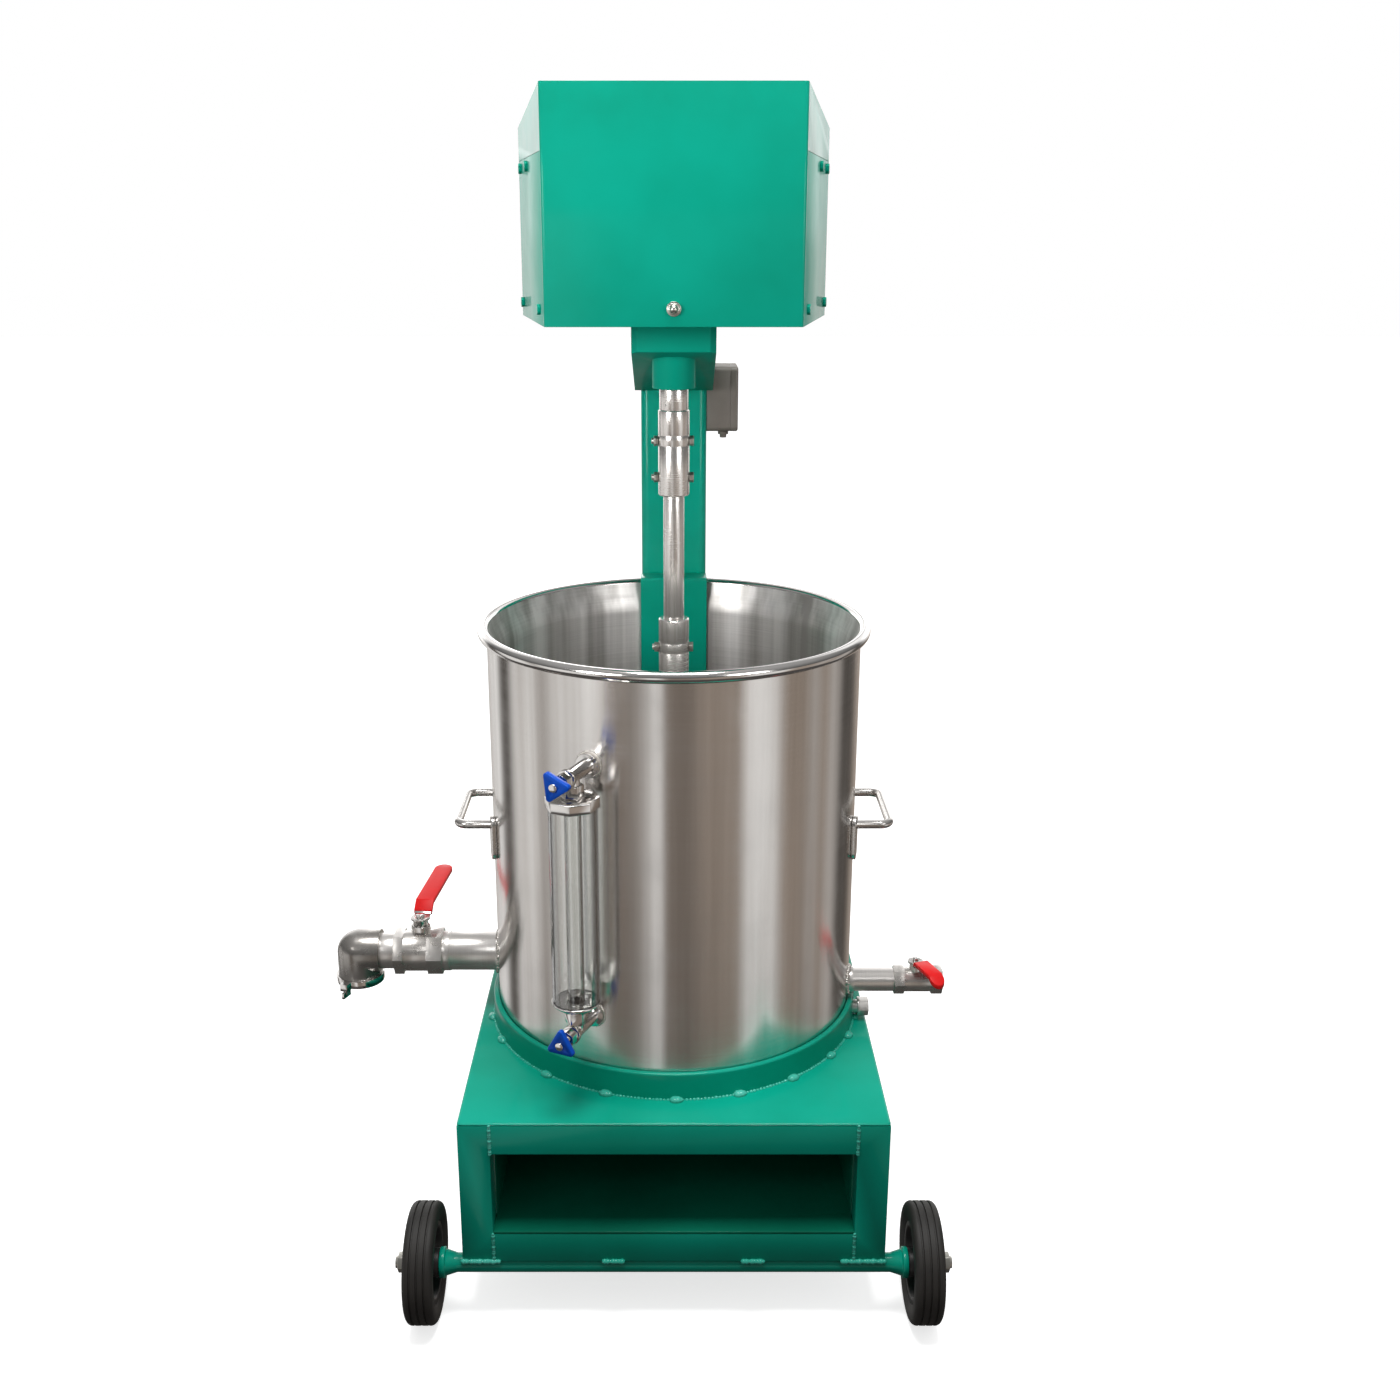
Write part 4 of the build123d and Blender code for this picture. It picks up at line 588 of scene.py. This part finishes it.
def arc(centre, radius, start, end, count):
    """Points on an arc in the profile's plane, from one angle to another, in degrees."""
    angles = [math.radians(start + (end - start) * i / count) for i in range(count + 1)]
    return [(centre[0] + radius * math.cos(a), centre[1] + radius * math.sin(a)) for a in angles]


shell_low, shell_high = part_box("kettle_shell")
pot_low, pot_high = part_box("inner_pot")
SHELL_R = (shell_high.x - shell_low.x) / 2
BEAD_R = 0.0081
RIM_TOP = pot_high.z
BEAD = ((pot_high.x - pot_low.x) / 2 - BEAD_R, RIM_TOP - BEAD_R)
print("shell radius", round(SHELL_R, 4), "rim bead at", BEAD)

# %% [markdown]
# ## The kettle's wall
#
# The outer shell of the jacket is a rolled and welded sheet with a flat bottom. It is turned as a thin cup,
# with a small bevel at its foot, which sits in the collar. Its wall is straight, so one long face from foot
# to top is enough, but for one ring low on the wall.

# %% The kettle's wall
WALL_SHEET = 0.002
BOTTOM_SHEET = 0.003
FOOT_BEVEL = 0.004
LOW_RING = 0.2
wall_inner = SHELL_R - WALL_SHEET
wall_foot = shell_low.z
wall_top = shell_high.z
outline = [(0, wall_foot), (SHELL_R - FOOT_BEVEL, wall_foot), (SHELL_R, wall_foot + FOOT_BEVEL)]
outline += [(SHELL_R, wall_foot + LOW_RING), (SHELL_R, wall_top), (wall_inner, wall_top)]
outline += [(wall_inner, wall_foot + BOTTOM_SHEET), (0, wall_foot + BOTTOM_SHEET)]
shell = turned(outline, FINE_STEPS)
stand_for(shell, "kettle_wall", "kettle_shell", SHELL_STEEL)
print("wall faces", len(shell.data.polygons))

# %% [markdown]
# ## The pot and its rolled rim
#
# The pot is one deep sheet: a rounded corner at the bottom, a straight wall, a flare that closes the
# jacket, and an edge rolled over the shell. It is one outline, walked up the inside, round the rolled edge
# and down the outside. The rolled edge was polished after rolling, so its faces get a finish of their own.

# %% The pot and its rolled rim
POT_R = 0.246
POT_SHEET = 0.0025
KNUCKLE = 0.03
LIP_DROP = 0.03
FLARE_IN = ((0.0, -0.005), (0.0004, 0.0), (0.0022, 0.01), (0.0056, 0.021), (0.0095, 0.03))
LIP_PROUD = 0.0006
LIP_END_DROP = 0.006
FLARE_INSET = 0.0027
FLARE_RISE = 0.022
FLARE_SHEET = 0.003
POLISH_REACH = 0.0105
POLISH_DROP = 2.2 * BEAD_R
pot_floor = pot_low.z + POT_SHEET
lip_start = RIM_TOP - 2 * BEAD_R - LIP_DROP
knuckle_centre = (POT_R - KNUCKLE, pot_floor + KNUCKLE)
outline = [(0, pot_floor)]
outline += arc(knuckle_centre, KNUCKLE, -90, 0, 10)
outline += [(POT_R + out, lip_start + up) for out, up in FLARE_IN]
outline += arc(BEAD, BEAD_R, 160, -90, 20)
outline += [(SHELL_R + LIP_PROUD, BEAD[1] - LIP_END_DROP)]
outline += [(SHELL_R - FLARE_INSET, lip_start + FLARE_RISE), (POT_R + FLARE_SHEET, lip_start)]
outline += arc(knuckle_centre, KNUCKLE + POT_SHEET, 0, -90, 10)
outline += [(0, pot_floor - POT_SHEET)]


def on_rolled_edge(place):
    """Whether a face's middle lies on the rolled edge."""
    return place.z > RIM_TOP - POLISH_DROP and place.xy.length > POT_R + POLISH_REACH


pot = turned(outline, FINE_STEPS)
stand_for(pot, "pot_and_rim", "inner_pot", POT_STEEL)
second_finish(pot, POLISHED, on_rolled_edge)
print("pot faces", len(pot.data.polygons))

# %% [markdown]
# ## The collar
#
# A green hoop of flat bar holds the kettle's foot on the plate. Its upper edges are rounded by the paint
# and by grinding, and the light line along them is what tells the eye that it is a separate hoop. A copy of
# the CAD ring would show its facets there, so it is turned like the kettle.

# %% The collar
COLLAR_EDGE = 0.003
COLLAR_FIT = 0.0003
ring_low, ring_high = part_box("collar_ring")
ring_outer = ring_high.x
ring_inner = SHELL_R + COLLAR_FIT
edge_z = ring_high.z - COLLAR_EDGE
outline = [(ring_inner, ring_low.z), (ring_outer, ring_low.z), (ring_outer, edge_z)]
outline += arc((ring_outer - COLLAR_EDGE, edge_z), COLLAR_EDGE, 10, 90, 6)
outline += arc((ring_inner + COLLAR_EDGE, edge_z), COLLAR_EDGE, 90, 180, 5)
outline += [(ring_inner, ring_low.z)]
collar = turned(outline, FINE_STEPS)
stand_for(collar, "collar", "collar_ring", GREEN)
print("collar faces", len(collar.data.polygons))

# %% [markdown]
# ## The tyres
#
# The front wheels have solid rubber tyres with rounded shoulders and shallow grooves round the tread. The
# grooves are part of the outline, so they are real geometry. The wheel is modelled once about Z, laid on
# its side, and moved out to both ends of the axle.

# %% The tyres
SHOULDER = 0.008
SIDE_STEP = 0.004
GROOVE_DEPTH = 0.0022
GROOVE_HALF = 0.0016
GROOVE_PLACES = (-0.0095, 0.0, 0.0095)


def tyre_outline(width, rim, outer):
    """The outline of a solid tyre's rubber with three grooves, closed on itself."""
    half = width / 2
    bottom = outer - GROOVE_DEPTH
    points = [(rim, -half + SIDE_STEP), (rim + SHOULDER, -half)]
    points += arc((outer - SHOULDER, -half + SHOULDER), SHOULDER, -80, -8, 6)
    for place in GROOVE_PLACES:
        points += [(outer, place - GROOVE_HALF), (bottom, place - GROOVE_HALF / 2)]
        points += [(bottom, place + GROOVE_HALF / 2), (outer, place + GROOVE_HALF)]
    points += arc((outer - SHOULDER, half - SHOULDER), SHOULDER, 8, 80, 6)
    points += [(rim + SHOULDER, half), (rim, half - SIDE_STEP), (rim, -half + SIDE_STEP)]
    return points


for side in ("right", "left"):
    low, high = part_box(side + "_wheel_tyre")
    hub_low, hub_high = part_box(side + "_wheel_hub")
    outline = tyre_outline(high.x - low.x, (hub_high.z - hub_low.z) / 2, (high.z - low.z) / 2)
    tyre = turned(outline, TYRE_STEPS)
    middle = (low + high) / 2
    tyre.matrix_world = Matrix.Translation(middle) @ Matrix.Rotation(math.pi / 2, 4, "Y")
    stand_for(tyre, side + "_tyre", side + "_wheel_tyre", TYRE)
print("tyres, outline points", len(outline))

# %% [markdown]
# ## The sight gauge
#
# A glass tube stands inside a wider clear guard. Both are plain tubes, but a clear piece needs real inner
# and outer walls, because the light bends at each of them.

# %% The sight gauge
TUBES = [("gauge_glass", "glass_tube", 0.002, GLASS), ("gauge_guard", "guard_tube", 0.003, GUARD)]
for node, name, wall, material in TUBES:
    low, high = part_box(node)
    outer = (high.x - low.x) / 2
    inner = outer - wall
    tube = turned([(outer, low.z), (outer, high.z), (inner, high.z), (inner, low.z), (outer, low.z)],
                  TUBE_STEPS)
    tube.matrix_world = Matrix.Translation(((low.x + high.x) / 2, (low.y + high.y) / 2, 0))
    stand_for(tube, name, node, material)
    print(name, "radius", round(outer, 4), "height", round(high.z - low.z, 3))

# %% [markdown]
# ## Weld drops
#
# Welds are everywhere on such a machine: beads of overlapping drops round each joint, and short tacks round
# the collar's foot. One drop is a squashed ball with few faces. It is copied along a path with small
# differences in size, which come from a sine and not from chance, and the drops of one seam are joined into
# one piece. A bump in the paint would show no outline against the plate.

# %% Weld drops
ROOT = body_of("base_frame")
DROP_SMOOTH = 80


def seam(name, path, material, size, squash=1.0):
    """A row of overlapping weld drops along a list of points, on the fixed body."""
    drops = []
    for i, point in enumerate(path):
        swell = 1 + 0.16 * math.sin(2.4 * i) + 0.08 * math.sin(5.1 * i + 1)
        bpy.ops.object.select_all(action="DESELECT")
        bpy.ops.mesh.primitive_ico_sphere_add(subdivisions=2, radius=size * swell, location=point)
        drop = bpy.context.object
        drop.scale = (1, 1, squash)
        drops.append(drop)
    bpy.ops.object.select_all(action="DESELECT")
    for drop in drops:
        drop.select_set(True)
    bpy.context.view_layer.objects.active = drops[0]
    bpy.ops.object.join()
    finish_piece(drops[0], name, material, ROOT, DROP_SMOOTH)


def line_points(start, end, step):
    """Evenly spaced points from start to end."""
    start = Vector(start)
    end = Vector(end)
    count = max(1, round((end - start).length / step))
    return [start.lerp(end, i / count) for i in range(count + 1)]


def ring_points(centre, radius, axis, step):
    """Points round a circle about an axis."""
    turn = Vector((0, 0, 1)).rotation_difference(Vector(axis)).to_matrix()
    count = max(3, round(math.tau * radius / step))
    angles = [math.tau * i / count for i in range(count + 1)]
    spokes = [Vector((radius * math.cos(a), radius * math.sin(a), 0)) for a in angles]
    return [Vector(centre) + turn @ spoke for spoke in spokes]


print("fixed body", ROOT)

# %% [markdown]
# ## Welds on the base
#
# The front is welded up from rails: a short seam runs down each post at the top rail and at the foot rail,
# a fine bead follows the bay's lower edge, and four stitches hold the axle tube under the foot rail. Round
# the collar runs a thin bead with stronger tacks on it. The tacks' turns are real places, read as angles
# from the right side round the kettle's axis. All are painted over with a thicker, glossier coat, in a
# green paler than the paint, which is a painted highlight. So they show as small bright dots, and the bead
# along the bay's edge shows as a bright line.

# %% Welds on the base
RAIL = 0.042
STITCHES = ((-0.283, -0.236), (-0.093, -0.070), (0.094, 0.120), (0.228, 0.283))
TACKS = (-170, -155, -130, -109.5, -89, -70.5, -52.5, -35, -21.5, -9, 12, 34, 57, 79, 101, 124, 147, 169)
TACK_HALF_TURN = 0.014
TACK_PROUD = 0.003
TACK_LIFT = 0.0015
FOOT_GAP = 0.002
STITCH_PROUD = 0.0004
STITCH_DROP = 0.0006
EDGE_INSET = 0.004
BEAD_PROUD = 0.0006
frame_low, frame_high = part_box("base_frame")
front_y = frame_low.y
post_x = frame_high.x - RAIL
top_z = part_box("base_top_plate")[0].z

for side in (-1, 1):
    for low_z, high_z, part in ((top_z - RAIL, top_z, "top"), (FOOT_GAP, RAIL, "foot")):
        post = side * post_x
        path = line_points((post, front_y, low_z), (post, front_y, high_z), step=0.0032)
        seam(f"post_weld_{part}_{side + 1}", path, BEAD_GREEN_PAINTED_HIGHLIGHT, size=0.0024)

stitch_y = front_y - STITCH_PROUD
for number, (start, end) in enumerate(STITCHES):
    path = line_points((start, stitch_y, -STITCH_DROP), (end, stitch_y, -STITCH_DROP), step=0.0036)
    seam(f"axle_weld_{number}", path, BEAD_GREEN_PAINTED_HIGHLIGHT, size=0.004, squash=0.9)

# The bead along the bay's lower edge, in its pale green, makes a painted highlight line along that edge.
edge_y = front_y + EDGE_INSET
path = line_points((-post_x, edge_y, RAIL), (post_x, edge_y, RAIL), step=0.0036)
seam("bay_edge_bead", path, BEAD_GREEN_PAINTED_HIGHLIGHT, size=0.0017)

path = ring_points((0, 0, ring_low.z), ring_outer + BEAD_PROUD, (0, 0, 1), step=0.005)
seam("collar_bead", path, BEAD_GREEN_PAINTED_HIGHLIGHT, size=0.0024, squash=0.8)

tack_r = ring_outer + TACK_PROUD
tack_z = ring_low.z + TACK_LIFT
for number, degrees in enumerate(TACKS):
    turns = [math.radians(degrees) + offset for offset in (-TACK_HALF_TURN, 0, TACK_HALF_TURN)]
    path = [Vector((tack_r * math.cos(turn), tack_r * math.sin(turn), tack_z)) for turn in turns]
    seam(f"collar_tack_{number}", path, BEAD_GREEN_PAINTED_HIGHLIGHT, size=0.0062, squash=0.75)
print("collar tacks", len(TACKS), "axle stitches", len(STITCHES))

# %% [markdown]
# ## Welds on the kettle
#
# Each pipe and each gauge fitting is welded where it leaves the kettle's round wall. The path is a circle
# round the pipe, with every point pushed out to the wall's radius, so the bead follows the saddle curve
# that a real welder follows. A flat ring would sink into the wall at its sides.

# %% Welds on the kettle
GAUGE_TURN = math.radians(24.5)


def wall_ring(axis, z, radius, step, side=1, aside=0.0, proud=0.0005):
    """Points round a fitting that leaves the kettle's wall along a level axis, at its far or near end."""
    axis = Vector(axis)
    across = axis.cross(Vector((0, 0, 1)))
    points = []
    for point in ring_points(Vector((0, 0, z)) + aside * across, radius, axis, step):
        offset = point.dot(across)
        depth = side * math.sqrt((SHELL_R + proud) ** 2 - offset ** 2)
        points.append(depth * axis + offset * across + Vector((0, 0, point.z)))
    return points


def middle_of(node):
    """The middle of a CAD node's box."""
    low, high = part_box(node)
    return (low + high) / 2


outlet = middle_of("outlet_pipe")
path = wall_ring((1, 0, 0), outlet.z, radius=0.0305, step=0.0035, side=-1)
seam("outlet_weld", path, WELD, size=0.0036)
drain = middle_of("drain_pipe")
path = wall_ring((1, 0, 0), drain.z, radius=0.0195, step=0.0032, aside=-drain.y)
seam("drain_weld", path, WELD, size=0.0034)
gauge_way = (-math.sin(GAUGE_TURN), -math.cos(GAUGE_TURN), 0)
for level in ("upper", "lower"):
    spindle = middle_of(f"gauge_{level}_spindle")
    path = wall_ring(gauge_way, spindle.z, radius=0.0168, step=0.0022, proud=0.0008)
    seam(f"gauge_{level}_weld", path, WELD, size=0.0018)
print("welds at heights", round(outlet.z, 3), round(drain.z, 3), round(spindle.z, 3))

# %% [markdown]
# ## The floor
#
# The kettle stands on a plain white floor. The camera sees the floor a little brighter than its light makes
# it, so it runs out into pure white, and only the soft shadow under the base is left. Rays that bounce off
# the steel pass through the floor instead, because a brushed wall seen from above mirrors what is low in
# the room, and a white floor would wash out its bands. For soft light the floor is dark grey, so that the
# base's front and its bay stay dark, as in a studio.

# %% The floor
FLOOR_SIZE = 40
FLOOR_GLOW = 0.72


def floor_material():
    """White for the camera, dark grey for soft light, and clear for reflections."""
    finish = Finish("floor_finish", Roughness=0.9, Emission_Strength=FLOOR_GLOW)
    path = finish.tree.nodes.new("ShaderNodeLightPath")
    camera_ray = Wire(finish, path.outputs["Is Camera Ray"])
    mirrored = Wire(finish, path.outputs["Is Glossy Ray"]) + Wire(finish, path.outputs["Is Transmission Ray"])
    white = finish.mix(finish.noise(2.0), grey(0.86), grey(0.9))
    finish.set("Base Color", finish.mix(camera_ray, grey(0.06), white))
    finish.set("Emission Color", finish.mix(camera_ray, grey(0), grey(1)))
    solid = Wire(finish, finish.shader.outputs[0])
    clear = finish.node("ShaderNodeBsdfTransparent")
    mixed = finish.node("ShaderNodeMixShader", {}, {0: mirrored, 1: solid, 2: clear})
    finish.feed(finish.tree.nodes["Material Output"].inputs["Surface"], mixed)
    return finish.material


floor_z = cad_box[0][2]
bpy.ops.object.select_all(action="DESELECT")
bpy.ops.mesh.primitive_plane_add(size=FLOOR_SIZE, location=(0, 0, floor_z))
floor = bpy.context.object
floor.name = "floor"
floor.data.materials.append(floor_material())
print("floor at", round(floor_z, 4))

# %% [markdown]
# ## The lights
#
# A large soft lamp hangs high over the kettle, a little to the front. It lights the plate, the rim and the
# hood, and it reaches the upright fronts only at a slant, so the base's front stays deep. The hood, the
# head and the column are brighter than that in the photograph, so two weak lamps with a narrow spread stand
# left and right of the camera at the hood's height, the left one stronger. One large lamp in front would
# light the base just as much.

# %% The lights
HOOD_AIM = (0, 0, 1.05)
HOOD_LAMP_SIZE = (0.6, 0.6)
HOOD_LAMP_SPREAD = 62


def soft_lamp(name, place, target, size, power, spread=180):
    """A rectangular lamp of a width and height that looks at a point."""
    data = bpy.data.lights.new(name, "AREA")
    data.shape = "RECTANGLE"
    data.size, data.size_y = size
    data.energy = power
    data.spread = math.radians(spread)
    lamp = bpy.data.objects.new(name, data)
    bpy.context.scene.collection.objects.link(lamp)
    lamp.location = place
    lamp.rotation_euler = (Vector(target) - Vector(place)).to_track_quat("-Z", "Y").to_euler()


soft_lamp("overhead", (0.0, -0.72, 4.0), target=(0, -0.1, 0.4), size=(1.6, 1.2), power=110)
for name, aside, power in (("hood_left", -1.0, 1.9), ("hood_right", 1.0, 1.0)):
    soft_lamp(name, (aside, -1.2, 1.35), HOOD_AIM, HOOD_LAMP_SIZE, power, HOOD_LAMP_SPREAD)
print("lamps", len(bpy.data.lights))

# %% [markdown]
# ## The room
#
# Steel has no colour of its own: what it shows is the room. Low in the room stand upright panels, pale and
# brown-grey by turns, and each one makes an upright band on the kettle's wall. A panel's place is its turn
# round the kettle, from 0 behind the camera, past the left at a quarter and the far side at a half, to 1
# behind the camera again. Below the panels the ground is dark. High in the room the light is plain, dim at
# the horizon and brighter overhead, with windows at the far side that shine on the plate and along the
# hood's sides, and a bright back wall stands round the horizon. Each edge between them is a pair of heights,
# from -1 straight down to 1 straight up, over which one fades into the next. The camera sees plain white
# instead of all this. Real panels would need to be hidden from the camera one by one.

# %% The room
PALE = (0.95, 0.94, 0.93, 1)
SOFT = (0.5, 0.47, 0.445, 1)
BROWN = (0.4, 0.335, 0.285, 1)
UMBER = (0.26, 0.22, 0.19, 1)
DARK = (0.1, 0.09, 0.082, 1)
GROUND = (0.09, 0.083, 0.08, 1)
OFF = grey(0.0)
LIT = grey(1.0)
LAMPED = grey(2.8)
DIM_SKY = grey(0.08)
HIGH_SKY = grey(0.45)
PANELS = [(0.0, UMBER), (0.013, UMBER), (0.022, PALE), (0.036, PALE), (0.055, SOFT), (0.082, UMBER),
          (0.11, UMBER), (0.13, PALE), (0.22, PALE), (0.24, SOFT), (0.265, PALE), (0.32, PALE),
          (0.338, DARK), (0.36, DARK), (0.385, PALE), (0.47, SOFT), (0.56, BROWN), (0.61, DARK),
          (0.65, DARK), (0.67, SOFT), (0.69, SOFT), (0.708, BROWN), (0.736, SOFT), (0.765, BROWN),
          (0.8, BROWN), (0.822, PALE), (0.872, PALE), (0.893, BROWN), (0.94, BROWN), (0.972, UMBER)]
WINDOWS = [(0.37, OFF), (0.41, LIT), (0.46, LIT), (0.472, OFF), (0.478, LAMPED), (0.489, LAMPED),
           (0.496, OFF), (0.511, OFF), (0.516, LIT), (0.523, LIT), (0.53, OFF), (0.55, LIT), (0.6, LIT),
           (0.63, OFF)]
BACK_WALL = [(0.36, OFF), (0.42, LIT), (0.58, LIT), (0.64, OFF)]
GROUND_EDGE = (-0.545, -0.5)
HORIZON = (-0.02, 0.02)
SKY_RISE = (0.0, 0.9)
WINDOW_TOP = (0.75, 0.5)
WALL_FOOT = (-0.22, -0.14)
WALL_TOP = (0.32, 0.22)


def room():
    """Upright panels below the horizon and plain light above it, which the camera sees as white."""
    world = bpy.data.worlds.new("room")
    bpy.context.scene.world = world
    world.use_nodes = True
    graph = Graph(world.node_tree)
    direction = graph.node("ShaderNodeTexCoord", output="Generated")
    split = graph.node("ShaderNodeSeparateXYZ", {}, {0: direction}).socket.node
    east, north, up = [Wire(graph, output) for output in split.outputs]
    turn = graph.sharpen(east.maths("ARCTAN2", east, north), -math.pi, math.pi)
    low = graph.mix(graph.sharpen(up, *GROUND_EDGE), GROUND, graph.stops(turn, PANELS))
    plain = graph.mix(graph.sharpen(up, *SKY_RISE), DIM_SKY, HIGH_SKY)
    windows = graph.mix(graph.sharpen(up, *WINDOW_TOP), OFF, graph.stops(turn, WINDOWS))
    high = graph.mix(1.0, plain, windows, "ADD")
    level = graph.sharpen(up, *WALL_FOOT) * graph.sharpen(up, *WALL_TOP)
    back_wall = graph.mix(level, OFF, graph.stops(turn, BACK_WALL))
    seen = graph.mix(graph.sharpen(up, *HORIZON), low, high)
    seen = graph.mix(1.0, seen, back_wall, "ADD")
    camera_ray = graph.node("ShaderNodeLightPath", output="Is Camera Ray")
    background = world.node_tree.nodes["Background"]
    graph.feed(background.inputs["Color"], graph.mix(camera_ray, seen, grey(1)))


room()
bpy.context.scene.view_settings.view_transform = "Standard"
print("room with", len(PANELS), "panel edges and", len(WINDOWS), "window edges")
